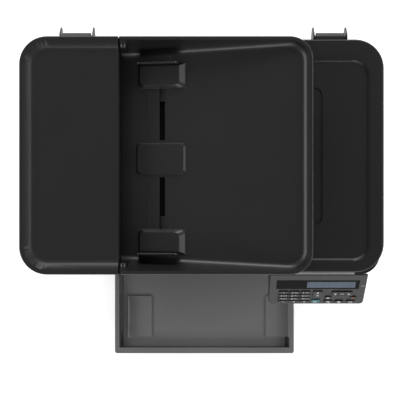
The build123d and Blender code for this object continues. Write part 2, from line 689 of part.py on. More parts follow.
with BuildPart() as flatbed_lid:
    rounded_slab((-lid_side, lid_front, lid_bottom), (lid_side, lid_rear, lid_top), lid_corner)
    fillet(flatbed_lid.faces().sort_by(Axis.Z)[-1].edges(), 2.0)
    rounded_slab((-lid_side + lid_rim, lid_front + lid_rim, lid_bottom - 1),
                 (lid_side - lid_rim, lid_rear - lid_rim, lid_skin_bottom), lid_corner - lid_rim,
                 Mode.SUBTRACT)
    with BuildSketch(Plane.XY.offset(lid_top)) as recess_mouth:
        with Locations(((recess_left + recess_right) / 2, (recess_front + recess_rear) / 2)):
            RectangleRounded(recess_right - recess_left, recess_rear - recess_front, recess_corner)
    with BuildSketch(Plane.XY.offset(lid_top - recess_depth)) as recess_floor:
        with Locations(((recess_left + recess_right) / 2, (recess_front + recess_rear) / 2)):
            RectangleRounded(recess_right - recess_left - 2 * recess_slope,
                             recess_rear - recess_front - 2 * recess_slope, recess_corner - recess_slope)
    loft([recess_mouth.sketch.face(), recess_floor.sketch.face()], mode=Mode.SUBTRACT)
    rounded_slab((finger_right - finger_width, finger_front, lid_top - recess_depth - finger_depth),
                 (finger_right, finger_rear, lid_top), finger_width / 2 - 16, Mode.SUBTRACT)
    block((window_left, glass_front + glass_ledge, lid_bottom),
          (window_right, glass_rear - glass_ledge, lid_top + 1), Mode.SUBTRACT)
    for hinge_x in hinge_centres:
        block((hinge_x - knuckle_width / 2, lid_rear - 3 * lid_rim, lid_axis_z - 2.0),
              (hinge_x + knuckle_width / 2, lid_axis_y, lid_top - 1.5))
        rod((hinge_x - knuckle_width / 2, lid_axis_y, lid_axis_z + knuckle_rise), (1, 0, 0), knuckle_radius,
            knuckle_width)
        rod((hinge_x - hinge_span / 2, lid_axis_y, lid_axis_z), (1, 0, 0), lid_pin_radius + running,
            hinge_span, Mode.SUBTRACT)
        for side in (-1, 1):
            cheek_x = hinge_x + side * (hinge_span + cheek_thickness) / 2
            rod((cheek_x - cheek_thickness / 2 - hinge_play, lid_axis_y, lid_axis_z), (1, 0, 0),
                cheek_head + 1.0, cheek_thickness + 2 * hinge_play, Mode.SUBTRACT)
save(flatbed_lid, "flatbed_lid")

# Lid pad: the white foam that presses a page on the glass
pad_inset = 3.0

with BuildPart() as lid_pad:
    rounded_slab((glass_left - pad_inset, glass_front - pad_inset, scanner_top + play),
                 (glass_right + pad_inset, glass_rear + pad_inset, lid_skin_bottom), 4.0)
save(lid_pad, "lid_pad")

# Document feeder, seen from above
feeder_left = -lid_side + 0.5
feeder_seam = -98.2
feeder_right = 121.3
feeder_corner_left = 31.5
feeder_corner_right = 26.0
feeder_rim = 4.0
feeder_base_top = 284.8
feeder_cover_low = 287.0
feeder_inner_front = feeder_front + wall
feeder_inner_rear = feeder_rear - wall
feeder_shelf = 150.0
exit_height = 10.6
shelf_low = lid_top + wall + exit_height

# Feeder cover hinge along the left edge
cover_axis_x = feeder_left + 3.0
cover_axis_z = feeder_cover_low + 3.0
cover_pin_radius = 1.5
cover_lug_radius = 2.9
cover_lug_width = 5.0
cover_lug_y = (-34.0, 138.0)

# Document tray hinge, high up beside the feeder cover
tray_axis_x = feeder_seam + 5.4
tray_axis_z = feeder_top - 4.6
tray_hinge_radius = 1.6
tray_ear_width = 4.0
tray_ear_inset = 8.5
tray_ear_radius = 3.5
tray_ear_front = feeder_front + tray_ear_inset
tray_ear_rear = feeder_rear - tray_ear_inset - tray_ear_width
tray_boss = 4.0
ear_clearance = tray_ear_radius + 1.1
feed_roller_x = -113.0
feed_roller_z = 275.6
feed_roller_radius = 8.5
feed_shaft_radius = 3.0
shelf_slot = 26.0


def feeder_slab(low_z, high_z, inset, mode=Mode.ADD):
    """The feeder's left part with its two round corners, cut off at the seam by what follows."""
    rounded_slab((feeder_left + inset, feeder_front + inset, low_z), (0, feeder_rear - inset, high_z),
                 feeder_corner_left - inset, mode)


def past_seam(right_of, low_z, high_z):
    """Cuts away everything right of an X."""
    block((right_of, feeder_front - wall, low_z), (feeder_right, feeder_rear + wall, high_z), Mode.SUBTRACT)


# Feeder base: the box under the feeder cover, open to the right above and below its shelf
with BuildPart() as feeder_base:
    feeder_slab(lid_top, feeder_base_top, 0)
    feeder_slab(lid_top + wall, feeder_base_top + 1, wall, Mode.SUBTRACT)
    past_seam(feeder_seam - 0.3, lid_top - 1, feeder_base_top + 1)
    block((window_left, glass_front + glass_ledge, lid_top - 1),
          (window_right, glass_rear - glass_ledge, lid_top + 2 * wall), Mode.SUBTRACT)
    block((-feeder_shelf, feeder_inner_front - 1, shelf_low),
          (feeder_seam - 0.3, feeder_inner_rear + 1, shelf_low + skin))
    rod((feed_roller_x, feeder_front - 1, feed_roller_z), (0, 1, 0), feed_shaft_radius + running,
        feeder_rear - feeder_front + 2, Mode.SUBTRACT)
    block((feed_roller_x - shelf_slot / 2, feeder_inner_front + 6, shelf_low - 1),
          (feed_roller_x + shelf_slot / 2, feeder_inner_rear - 6, shelf_low + 2 * skin), Mode.SUBTRACT)
    for lug_y in cover_lug_y:
        low_y = lug_y - cover_lug_width / 2
        block((cover_axis_x - 2, low_y, feeder_base_top - 6),
              (cover_axis_x + 3, low_y + cover_lug_width, cover_axis_z))
        rod((cover_axis_x, low_y, cover_axis_z), (0, 1, 0), cover_lug_radius, cover_lug_width)
        rod((cover_axis_x, low_y - 1, cover_axis_z), (0, 1, 0), cover_pin_radius + running,
            cover_lug_width + 2, Mode.SUBTRACT)
    for low_y in (tray_ear_front, tray_ear_rear):
        high_y = low_y + tray_ear_width
        ear_left = tray_axis_x - tray_ear_radius
        ear_right = tray_axis_x + tray_ear_radius
        block((feeder_seam - 6, low_y, shelf_low), (ear_right, high_y, feeder_base_top))
        block((ear_left, low_y, feeder_base_top - 1), (ear_right, high_y, tray_axis_z))
        rod((tray_axis_x, low_y, tray_axis_z), (0, 1, 0), tray_ear_radius, tray_ear_width)
        rod((tray_axis_x, low_y - 1, tray_axis_z), (0, 1, 0), tray_hinge_radius + running, tray_ear_width + 2,
            Mode.SUBTRACT)
save(feeder_base, "feeder_base")

# Feeder cover: a dished cap over the rollers
dish_depth = 6.0
dish_slope = 11.0

with BuildPart() as feeder_cover:
    feeder_slab(feeder_cover_low, feeder_top, 0)
    fillet(feeder_cover.faces().sort_by(Axis.Z)[-1].edges(), 1.2)
    feeder_slab(feeder_cover_low - 1, feeder_top - dish_depth - skin, wall, Mode.SUBTRACT)
    with BuildSketch(Plane.XY.offset(feeder_top)) as dish_mouth:
        with Locations(((feeder_left + feeder_rim) / 2 + 20, (feeder_front + feeder_rear) / 2)):
            RectangleRounded(-feeder_left - feeder_rim + 40, feeder_rear - feeder_front - 2 * feeder_rim,
                             feeder_corner_left - feeder_rim)
    with BuildSketch(Plane.XY.offset(feeder_top - dish_depth)) as dish_floor:
        with Locations(((feeder_left + feeder_rim + dish_slope) / 2 + 20, (feeder_front + feeder_rear) / 2)):
            RectangleRounded(-feeder_left - feeder_rim - dish_slope + 40,
                             feeder_rear - feeder_front - 2 * feeder_rim - 2 * dish_slope,
                             feeder_corner_left - feeder_rim - dish_slope + 2)
    loft([dish_mouth.sketch.face(), dish_floor.sketch.face()], mode=Mode.SUBTRACT)
    past_seam(feeder_seam, feeder_cover_low - 2, feeder_top + 1)
    block((feeder_seam - wall, feeder_inner_front, feeder_cover_low),
          (feeder_seam, feeder_inner_rear, feeder_top - dish_depth))
    for lug_y in cover_lug_y:
        reach = cover_lug_width / 2 + hinge_play
        block((feeder_left, lug_y - reach - 6, feeder_cover_low),
              (cover_axis_x + 3.2, lug_y + reach + 6, feeder_top - dish_depth))
        block((feeder_left - 1, lug_y - reach, feeder_cover_low - 1),
              (cover_axis_x + 4.2, lug_y + reach, cover_axis_z + cover_lug_radius + hinge_play),
              Mode.SUBTRACT)
        rod((cover_axis_x, lug_y - reach - 3, cover_axis_z), (0, 1, 0), cover_pin_radius, 2 * reach + 6)
save(feeder_cover, "feeder_cover")

# Feed roller: two rubber tyres on one shaft through the feeder's walls
feed_tyre = 34.0
feed_tyre_gap = 26.0

with BuildPart() as feed_roller:
    rod((feed_roller_x, feeder_front + 0.5, feed_roller_z), (0, 1, 0), feed_shaft_radius,
        feeder_rear - feeder_front - 1)
    for side in (-1, 1):
        tyre_y = paper_centre_y + side * (feed_tyre + feed_tyre_gap) / 2 - feed_tyre / 2
        rod((feed_roller_x, tyre_y, feed_roller_z), (0, 1, 0), feed_roller_radius, feed_tyre)
save(feed_roller, "feed_roller")

# Document tray: a trough whose floor rises to the right, seen in its own sloping plane
tray_left = feeder_seam + 0.9
trough_low = 265.0
trough_high = 298.0
trough_start = -95.0
trough_end = 110.0
trough_slope = (trough_high - trough_low) / (trough_end - trough_start)
trough_angle = degrees(atan2(trough_slope, 1))
trough_draft = 0.28
trough_skin = 2.4
skirt_depth = 8.0
end_cut = 3.0
trough_plane = Plane(
    origin=(trough_start, paper_centre_y, trough_low),
    x_dir=(cos(radians(trough_angle)), 0, sin(radians(trough_angle))),
    z_dir=(-sin(radians(trough_angle)), 0, cos(radians(trough_angle))),
)
trough_run = (trough_end - trough_start) / cos(radians(trough_angle))


def trough_mouth(level, inset):
    """The trough's outline at a level, drawn in from the rim by an inset."""
    high_x = feeder_right - feeder_rim - inset
    low_x = trough_start - 60
    with BuildSketch(Plane.XY.offset(level)) as mouth:
        with Locations(((low_x + high_x) / 2, (feeder_front + feeder_rear) / 2)):
            RectangleRounded(high_x - low_x, feeder_rear - feeder_front - 2 * feeder_rim - 2 * inset,
                             feeder_corner_right - feeder_rim)
    return mouth.sketch.face()


def trough_hollow(grow):
    """The hollow between the drafted walls, above the sloping floor, or that hollow grown by a skin."""
    depth = feeder_top - trough_low + 2 * trough_skin
    with BuildPart() as hollow:
        loft([trough_mouth(feeder_top + 0.1, -grow),
              trough_mouth(feeder_top - depth, depth * trough_draft - grow)])
        split(bisect_by=trough_plane.offset(-grow), keep=Keep.TOP)
    return hollow.part


def trough_block(low, high, mode=Mode.ADD):
    """A box in the sloping plane: along the slope, along Y from the paper's middle, and up."""
    with Locations(trough_plane):
        with Locations(tuple((a + b) / 2 for a, b in zip(low, high))):
            Box(*(b - a for a, b in zip(low, high)), mode=mode)


def tray_wedge(inset, low_z, high_z):
    """The tray's outline, cut off below along the slope."""
    overrun = 2 * feeder_corner_right
    rounded_slab((tray_left - overrun, feeder_front + inset, low_z),
                 (feeder_right - inset, feeder_rear - inset, high_z), feeder_corner_right - inset)
    block((tray_left - overrun - 1, feeder_front - wall, low_z - 1),
          (tray_left, feeder_rear + wall, high_z + 1), Mode.SUBTRACT)


# Guide sizes, along the slope and along Y
guide_left_x = -77.6
guide_right_x = -22.0
guide_start = (guide_left_x - trough_start) / cos(radians(trough_angle))
guide_end = (guide_right_x - trough_start) / cos(radians(trough_angle))
guide_reach = 27.0
guide_fence = 2.2
guide_fence_height = 19.0
guide_plate = 2.0
guide_ramp = 7.5
slot_left_x = -52.7
slot_width = 6.5
slot_start = (slot_left_x - trough_start) / cos(radians(trough_angle))
slot_end = slot_start + slot_width
slot_reach = sheet_width / 2 - 2.0
pad_start = (-80.0 - trough_start) / cos(radians(trough_angle))
pad_end = (-22.5 - trough_start) / cos(radians(trough_angle))
pad_half = 18.4
pad_height = 2.6
rack_width = 5.0
rack_thickness = 2.4

hollow = trough_hollow(0)
grown_hollow = trough_hollow(trough_skin)

with BuildPart() as hollow_under_tray:
    tray_wedge(wall, lid_top, feeder_top - skin)
    add(grown_hollow, mode=Mode.SUBTRACT)

with BuildPart() as document_tray:
    tray_wedge(0, lid_top, feeder_top)
    fillet(document_tray.faces().sort_by(Axis.Z)[-1].edges().filter_by(Axis.Y, reverse=True), 1.2)
    add(hollow_under_tray.part, mode=Mode.SUBTRACT)
    add(hollow, mode=Mode.SUBTRACT)
    trough_block((-80, -200, -100), (trough_run + 60, 200, -trough_skin - skirt_depth), Mode.SUBTRACT)
    trough_block((slot_start, -slot_reach, -4), (slot_end, -pad_half - 3, 4), Mode.SUBTRACT)
    trough_block((slot_start, pad_half + 3, -4), (slot_end, slot_reach, 4), Mode.SUBTRACT)
    trough_block((pad_start, -pad_half, -1), (pad_end, pad_half, pad_height))
    for side, low_y in ((-1, tray_ear_front), (1, tray_ear_rear)):
        ear_low = low_y - hinge_play
        ear_high = low_y + tray_ear_width + hinge_play
        boss_low, boss_high = (feeder_inner_front, ear_low) if side < 0 else (ear_high, feeder_inner_rear)
        pin_low, pin_high = (ear_low - 1, ear_high) if side < 0 else (ear_low, ear_high + 1)
        block((tray_left - 1, ear_low, lid_top), (tray_axis_x + ear_clearance, ear_high, feeder_top - 0.5),
              Mode.SUBTRACT)
        block((tray_left + 1, boss_low, tray_axis_z - tray_boss),
              (tray_axis_x + tray_boss, boss_high, tray_axis_z + 3))
        rod((tray_axis_x, pin_low, tray_axis_z), (0, 1, 0), tray_hinge_radius, pin_high - pin_low)
    front_profile(feeder_front - wall, [
        (tray_left - 1, feeder_top + 1), (tray_left - 1, feeder_top - end_cut),
        (tray_left, feeder_top - end_cut), (tray_left + end_cut, feeder_top),
        (tray_left + end_cut, feeder_top + 1),
    ], feeder_rear - feeder_front + 2 * wall, Mode.SUBTRACT)
save(document_tray, "document_tray")

# Document guides: an L on the floor, a stem through the slot, and under the floor a plate and a rack arm
stem_length = 8.0
stem_inset = 6.0
plate_reach = 14.5
arm_length = 84.0
arm_drop = trough_skin + play

for side, name in ((1, "document_guide_rear"), (-1, "document_guide_front")):
    outer = side * (sheet_width / 2 + guide_fence)
    fence = side * sheet_width / 2
    inner = side * (sheet_width / 2 - guide_reach)
    with BuildPart() as guide:
        trough_block((guide_start, min(inner, outer), play),
                     (guide_end, max(inner, outer), play + guide_plate))
        trough_block((guide_start, min(fence, outer), play),
                     (guide_end - guide_ramp, max(fence, outer), guide_fence_height))
        stem_end = fence - side * stem_inset
        stem_low, stem_high = sorted((stem_end, stem_end - side * stem_length))
        trough_block((slot_start + play, stem_low, -arm_drop - rack_thickness),
                     (slot_end - play, stem_high, play + guide_plate / 2))
        arm_x = slot_start - play - rack_width if side > 0 else slot_end + play
        plate_low, plate_high = sorted((stem_end, inner - side * plate_reach))
        trough_block((min(arm_x, slot_start + play), plate_low, -arm_drop - rack_thickness),
                     (max(arm_x + rack_width, slot_end - play), plate_high, -arm_drop))
        arm_low, arm_high = sorted((stem_end, stem_end - side * arm_length))
        trough_block((arm_x, arm_low, -arm_drop - rack_thickness), (arm_x + rack_width, arm_high, -arm_drop))
    save(guide, name)

# Control panel: a wedge whose face slopes down to the front
panel_left = 80.0
panel_right = 198.0
panel_top_y = body_front - 1.5
panel_top_z = cover_top + 7.0
panel_low_y = body_front - 40.0
panel_low_z = 158.0
panel_under_z = 152.0
panel_back_z = 166.0
panel_angle = degrees(atan2(panel_top_z - panel_low_z, panel_top_y - panel_low_y))
panel_face = hypot(panel_top_z - panel_low_z, panel_top_y - panel_low_y)
panel_wall = 2.4
panel_plane = Plane(
    origin=(0, panel_top_y, panel_top_z),
    x_dir=(1, 0, 0),
    z_dir=(0, -sin(radians(panel_angle)), cos(radians(panel_angle))),
)


def panel_block(low, high, mode=Mode.ADD):
    """A box on the panel's face: X, then down the slope as a positive number, then up from the face."""
    with Locations(panel_plane):
        with Locations(((low[0] + high[0]) / 2, -(low[1] + high[1]) / 2, (low[2] + high[2]) / 2)):
            Box(high[0] - low[0], high[1] - low[1], high[2] - low[2], mode=mode)


# Keys: name, middle along X, middle down the slope, width and height of the cap
key_gap = 0.35
key_proud = 1.3
key_flange = 0.6
key_flange_thickness = 1.0
keypad_x = 97.6
keypad_pitch_x = 13.4
keypad_down = 35.3
keypad_pitch_down = 6.6
keypad_width = 11.6
keypad_height = 4.6
key_corner = 1.2

keys = []
for row, names in enumerate((("1", "2", "3"), ("4", "5", "6"), ("7", "8", "9"), ("star", "0", "hash"))):
    for column, name in enumerate(names):
        keys.append((f"key_{name}", keypad_x + keypad_pitch_x * column, keypad_down + keypad_pitch_down * row,
                     keypad_width, keypad_height))
keys += [
    ("scroll_key", 139.8, 38.6, 11.4, 11.6),
    ("start_key", 138.4, 54.6, 10.6, 6.6),
    ("menu_key", 153.2, 46.7, 7.6, 4.6),
    ("copy_key", 153.8, 55.0, 10.6, 4.6),
    ("fax_key", 167.5, 55.4, 10.6, 4.6),
    ("scan_key", 181.8, 55.4, 10.8, 4.6),
    ("cancel_key", 184.4, 46.7, 7.6, 4.6),
    ("arrow_key", 170.1, 38.2, 25.4, 8.8),
    ("ok_key", 170.1, 38.2, 8.4, 5.0),
]
window_x = (125.5, 184.9)
window_down = (13.6, 26.2)
bezel_x = (88.0, 189.4)
bezel_down = (10.7, 28.6)
bezel_thickness = 1.2

with BuildPart() as panel_housing:
    side_profile(panel_left, [
        (body_front, panel_top_z), (panel_top_y, panel_top_z), (panel_low_y, panel_low_z),
        (panel_low_y, panel_under_z), (panel_low_y + 4, panel_under_z - 2), (body_front, panel_back_z - 10),
    ], panel_right - panel_left)
    side_profile(panel_left + panel_wall, [
        (body_front - panel_wall, panel_top_z - 6), (panel_low_y + panel_wall, panel_low_z - 2),
        (panel_low_y + panel_wall, panel_under_z + 1.4), (panel_low_y + 6, panel_under_z + 0.6),
        (body_front - panel_wall, panel_back_z - 7.2),
    ], panel_right - panel_left - 2 * panel_wall, Mode.SUBTRACT)
    panel_block((bezel_x[0] - seat, bezel_down[0] - seat, -bezel_thickness - seat),
                (bezel_x[1] + seat, bezel_down[1] + seat, 2), Mode.SUBTRACT)
    for name, key_x, key_down, key_width, key_height in keys:
        panel_block((key_x - key_width / 2 - key_gap, key_down - key_height / 2 - key_gap, -8),
                    (key_x + key_width / 2 + key_gap, key_down + key_height / 2 + key_gap, 2), Mode.SUBTRACT)
save(panel_housing, "panel_housing")

# Keys: one cap each, with a flange under the panel's face that keeps it in its hole
face_thickness = 3.1
flange_gap = 0.3
rocker_drop = 1.0
rocker_depth = 3.0
rocker_radius = 2.6
rocking_keys = {"scroll_key": panel_plane.x_dir, "arrow_key": panel_plane.y_dir}
ok_width, ok_height = keys[-1][3:]

for name, key_x, key_down, key_width, key_height in keys:
    flange_top = -face_thickness - (rocker_drop if name in rocking_keys else flange_gap)
    flange_low = flange_top - key_flange_thickness
    flange_x = key_width / 2 + key_flange
    flange_down = key_height / 2 + key_flange
    with BuildPart() as key:
        panel_block((key_x - key_width / 2, key_down - key_height / 2, flange_low),
                    (key_x + key_width / 2, key_down + key_height / 2, key_proud))
        fillet(key.edges().filter_by(Axis((0, 0, 0), panel_plane.z_dir)), key_corner)
        panel_block((key_x - flange_x, key_down - flange_down, flange_low),
                    (key_x + flange_x, key_down + flange_down, flange_top))
        if name in rocking_keys:
            along = rocking_keys[name]
            half = (key_width if name == "scroll_key" else key_height) / 2
            middle = panel_plane.from_local_coords((key_x, -key_down, -rocker_depth))
            rod(middle - along * half, along, rocker_radius, 2 * half)
        if name == "arrow_key":
            hole_x = ok_width / 2 + key_gap
            hole_down = ok_height / 2 + key_gap
            pocket_x = hole_x + key_flange + 2 * key_gap
            pocket_down = hole_down + key_flange
            panel_block((key_x - hole_x, key_down - hole_down, -20),
                        (key_x + hole_x, key_down + hole_down, 20), Mode.SUBTRACT)
            panel_block((key_x - pocket_x, key_down - pocket_down, -20),
                        (key_x + pocket_x, key_down + pocket_down, key_gap - face_thickness - flange_gap),
                        Mode.SUBTRACT)
    save(key, name)

# Display: a glossy bezel in the panel's face with the window flush in it
with BuildPart() as display:
    panel_block((bezel_x[0], bezel_down[0], -bezel_thickness), (bezel_x[1], bezel_down[1], 0.2))
    panel_block((window_x[0], window_down[0], -2 * bezel_thickness), (window_x[1], window_down[1], 2),
                Mode.SUBTRACT)
    panel_block((window_x[0], window_down[0], -bezel_thickness), (window_x[1], window_down[1], 0))
save(display, "display")

# Paper guides on the front tray: an L with its fence beside the paper
tray_guide_front = tray_front + 22.0
tray_guide_length = 56.0
tray_guide_rear = tray_guide_front + tray_guide_length
tray_guide_low = tray_pivot_z + 0.3
tray_guide_plate = 30.0
tray_guide_height = 11.0
tray_guide_thickness = 2.0

for side, name in ((-1, "tray_guide_left"), (1, "tray_guide_right")):
    fence = paper_centre_x + side * sheet_width / 2
    outer = fence + side * tray_guide_thickness
    inner = fence - side * tray_guide_plate
    with BuildPart() as guide:
        block((min(inner, outer), tray_guide_front, tray_guide_low),
              (max(inner, outer), tray_guide_rear, tray_guide_low + tray_guide_thickness))
        block((min(fence, outer), tray_guide_front, tray_guide_low),
              (max(fence, outer), tray_guide_rear, tray_pivot_z + tray_guide_height))
    save(guide, name)
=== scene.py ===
# %% [markdown]
# # Dressing a black office printer
# The frame holds every piece of the printer at its real size. This script gives each piece its finish,
# rounds the edges that a mould would round, and models the small visible pieces: keys with their
# legends, the display, the guides' grips and the raised signs. Lengths are metres, and the printer's
# front faces -Y.

# %% Load the frame
import json
from math import atan2, cos, pi, radians, sin

import bmesh
import bpy
from mathutils import Matrix, Vector


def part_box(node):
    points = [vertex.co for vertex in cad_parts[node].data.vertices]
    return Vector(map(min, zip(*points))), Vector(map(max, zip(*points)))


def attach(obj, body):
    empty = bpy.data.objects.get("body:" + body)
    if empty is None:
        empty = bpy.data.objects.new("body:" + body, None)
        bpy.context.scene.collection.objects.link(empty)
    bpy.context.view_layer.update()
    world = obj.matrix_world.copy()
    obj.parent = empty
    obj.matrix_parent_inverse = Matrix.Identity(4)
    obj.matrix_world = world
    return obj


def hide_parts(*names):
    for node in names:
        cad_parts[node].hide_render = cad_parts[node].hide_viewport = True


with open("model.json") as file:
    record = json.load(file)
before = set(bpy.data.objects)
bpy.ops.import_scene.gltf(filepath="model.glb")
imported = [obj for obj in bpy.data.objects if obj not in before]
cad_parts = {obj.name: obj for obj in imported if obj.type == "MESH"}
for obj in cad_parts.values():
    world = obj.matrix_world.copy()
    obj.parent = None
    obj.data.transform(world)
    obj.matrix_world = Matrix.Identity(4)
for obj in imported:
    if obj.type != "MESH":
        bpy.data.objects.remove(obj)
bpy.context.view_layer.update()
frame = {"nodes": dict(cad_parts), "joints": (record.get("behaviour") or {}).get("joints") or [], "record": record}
nodes = frame["nodes"]
mm = 0.001
bpy.ops.object.select_all(action="DESELECT")
print("the frame holds", len(nodes), "nodes")

# %% [markdown]
# ## Helpers for editing
# An operator acts on all that is selected, so each helper first deselects everything, and then makes
# one piece active. Choosing edges in code, by their place or by the angle between their faces, takes
# the place of clicking.

# %% Make one piece active
scene = bpy.context.scene


def activate(piece):
    """Selects this piece and nothing else."""
    bpy.ops.object.select_all(action="DESELECT")
    piece.select_set(True)
    bpy.context.view_layer.objects.active = piece


def open_edit(piece, choose="DESELECT"):
    """Enters edit mode on one piece, with all or nothing chosen."""
    activate(piece)
    bpy.ops.object.mode_set(mode="EDIT")
    bpy.ops.mesh.select_mode(type="EDGE")
    bpy.ops.mesh.select_all(action=choose)


def close_edit():
    """Leaves edit mode, so that the mesh is written."""
    bpy.ops.object.mode_set(mode="OBJECT")


# %% Choose edges or faces by a rule
def choose_edges(piece, rule):
    """Selects the edges for which the rule on a bmesh edge holds, and returns how many there are."""
    mesh = bmesh.from_edit_mesh(piece.data)
    chosen = [edge for edge in mesh.edges if rule(edge)]
    for edge in chosen:
        edge.select_set(True)
    bmesh.update_edit_mesh(piece.data)
    return len(chosen)


def choose_faces(piece, rule):
    """Selects the faces for which the rule on a bmesh face holds, and returns how many there are."""
    mesh = bmesh.from_edit_mesh(piece.data)
    chosen = [face for face in mesh.faces if rule(face)]
    for face in chosen:
        face.select_set(True)
    bmesh.update_edit_mesh(piece.data)
    return len(chosen)


def middle(edge):
    """The middle of an edge."""
    return (edge.verts[0].co + edge.verts[1].co) / 2


def sharp(edge, angle=25):
    """True for an edge whose two faces meet at more than an angle."""
    return len(edge.link_faces) == 2 and edge.calc_face_angle(0) > radians(angle)


# %% [markdown]
# ## A moulded edge
# Injection moulding leaves no knife edges: every outer edge of a cover has a small radius, and that
# radius is what catches the light. It could be drawn as a bump, but a real bevel also shows in the
# outline, so each cover is a merged copy of its solid with a Bevel modifier that rounds whatever is
# sharper than a set angle.

# %% Round the edges of a copy
smooth_limit = radians(28)


def merged_copy(node, name):
    """A copy of a node's mesh as a new piece, with its loose triangles joined into whole faces."""
    piece = bpy.data.objects.new(name, nodes[node].data.copy())
    scene.collection.objects.link(piece)
    piece.data.materials.clear()
    open_edit(piece, "SELECT")
    bpy.ops.mesh.remove_doubles(threshold=0.002 * mm)
    bpy.ops.mesh.customdata_custom_splitnormals_clear()
    bpy.ops.mesh.dissolve_limited(angle_limit=radians(0.6))
    close_edit()
    return piece


def round_edges(piece, radius, segments=2, angle=32):
    """Rounds the edges sharper than an angle, smooths the rounding and keeps the large faces flat."""
    bevel = piece.modifiers.new("moulded_edge", "BEVEL")
    bevel.width = radius
    bevel.segments = segments
    bevel.limit_method = "ANGLE"
    bevel.angle_limit = radians(angle)
    bevel.harden_normals = True
    activate(piece)
    bpy.ops.object.modifier_apply(modifier=bevel.name)
    bpy.ops.object.shade_smooth_by_angle(angle=smooth_limit)
    flatten = piece.modifiers.new("flat_faces", "WEIGHTED_NORMAL")
    flatten.weight = 100
    flatten.keep_sharp = True
    bpy.ops.object.modifier_apply(modifier=flatten.name)
    return piece


# %% [markdown]
# ## Materials
# Nearly all that shows is black ABS or polystyrene. It is told apart by its surface: spark-eroded grain
# on the covers, a finer satin in the feeder's trough, polish on the display. A colour is written as
# the sRGB hex value that the eye reads, and one function turns it to linear light, because that is
# what a shader works in.

# %% Colours and nodes
def colour(code):
    """A linear colour from an sRGB hex code."""
    channels = [int(code[start:start + 2], 16) / 255 for start in (1, 3, 5)]
    return tuple(c / 12.92 if c <= 0.04045 else ((c + 0.055) / 1.055) ** 2.4 for c in channels) + (1.0,)


def add_node(tree, kind, sockets=None, **settings):
    """Adds a node with its settings, and sets each named input to a value or links it to an output."""
    made = tree.nodes.new(kind)
    for setting, value in settings.items():
        setattr(made, setting, value)
    for socket, value in (sockets or {}).items():
        if isinstance(value, bpy.types.NodeSocket):
            tree.links.new(value, made.inputs[socket])
        else:
            made.inputs[socket].default_value = value
    return made


def new_material(name):
    """An empty node material, with its tree."""
    material = bpy.data.materials.new(name)
    material.use_nodes = True
    material.node_tree.nodes.clear()
    return material, material.node_tree


def finish_surface(tree, shader):
    """Links a shader to the material's output."""
    add_node(tree, "ShaderNodeOutputMaterial", {"Surface": shader.outputs[0]})


# %% [markdown]
# ## Moulded plastic with an eroded grain
# The steel mould of such a cover is spark-eroded, which leaves grains of a quarter to half a
# millimetre. At the distance of the photograph they merge into a soft, slightly uneven sheen, so the
# recipe uses two noises: the grain itself, drawn a little coarser than real so that it shows, and a
# wide cloud that varies the tone by a few percent.

# %% Moulded plastic
cloud_mm = 60


def moulded(name, code, roughness, grain_mm, relief_mm, contrast=0.10, speckle=0.0):
    """Moulded ABS: colour, roughness, width and depth of grain, and how far that changes its tone."""
    material, tree = new_material(name)
    where = add_node(tree, "ShaderNodeTexCoord").outputs["Object"]
    grain = add_node(tree, "ShaderNodeTexNoise", {
        "Vector": where, "Scale": 1 / (grain_mm * mm), "Detail": 3.0, "Roughness": 0.62})
    cloud = add_node(tree, "ShaderNodeTexNoise", {
        "Vector": where, "Scale": 1 / (cloud_mm * mm), "Detail": 3.0})
    tone = add_node(tree, "ShaderNodeMath", {0: grain.outputs[0], 1: cloud.outputs[0]}, operation="ADD")
    spread = add_node(tree, "ShaderNodeMapRange", {
        "Value": tone.outputs[0], "From Min": 0.7, "From Max": 1.3,
        "To Min": 1 - contrast, "To Max": 1 + contrast + speckle})
    base = add_node(tree, "ShaderNodeVectorMath", {
        0: colour(code)[:3], "Scale": spread.outputs[0]}, operation="SCALE")
    gloss = add_node(tree, "ShaderNodeMapRange", {
        "Value": grain.outputs[0], "From Min": 0.3, "From Max": 0.7,
        "To Min": roughness - 0.05, "To Max": roughness + 0.05})
    relief = add_node(tree, "ShaderNodeBump", {
        "Height": grain.outputs[0], "Distance": relief_mm * mm, "Strength": 0.6})
    shader = add_node(tree, "ShaderNodeBsdfPrincipled", {
        "Base Color": base.outputs[0], "Roughness": gloss.outputs[0], "Normal": relief.outputs[0],
        "IOR": 1.53})
    finish_surface(tree, shader)
    return material


cover_abs = moulded("eroded_black_abs", "#171718", 0.46, 1.1, 0.05)
lid_abs = moulded("leather_grain_black_abs", "#151516", 0.42, 1.3, 0.08, contrast=0.16)
feeder_abs = moulded("satin_black_abs", "#202021", 0.36, 0.9, 0.02, contrast=0.05)
panel_abs = moulded("speckled_black_abs", "#262627", 0.46, 1.0, 0.07, contrast=0.22, speckle=0.15)
tray_abs = moulded("satin_grey_abs", "#767677", 0.40, 0.9, 0.02, contrast=0.05)
chassis_abs = moulded("plain_black_polystyrene", "#1d1d1e", 0.60, 1.5, 0.04)
key_abs = moulded("keycap_black_abs", "#0f0f10", 0.34, 0.8, 0.01, contrast=0.05)
print("plastics:", [m.name for m in bpy.data.materials if "abs" in m.name])

# %% [markdown]
# ## Rubber, metal, glass and foam
# The feet and rollers are rubber, which is dark and dull. The frame and the rail are zinc-plated steel
# with fine lengthwise rolling lines. The circuit boards are green under their lacquer. These pieces
# show only when the covers are lifted, but the poses do lift them.

# %% Rubber, foam, acetal, drum coating and board lacquer
rubber = moulded("matt_black_rubber", "#141414", 0.80, 0.6, 0.05, contrast=0.12)
foam = moulded("white_pressure_foam", "#e9e9e7", 0.70, 1.4, 0.06, contrast=0.03)
gear_pom = moulded("natural_acetal", "#dedcd2", 0.35, 0.8, 0.01, contrast=0.03)
drum_coat = moulded("coated_drum_aluminium", "#3f6f66", 0.18, 2.0, 0.003, contrast=0.04)
board_lacquer = moulded("green_board_lacquer", "#1f5a36", 0.35, 2.2, 0.02, contrast=0.20)


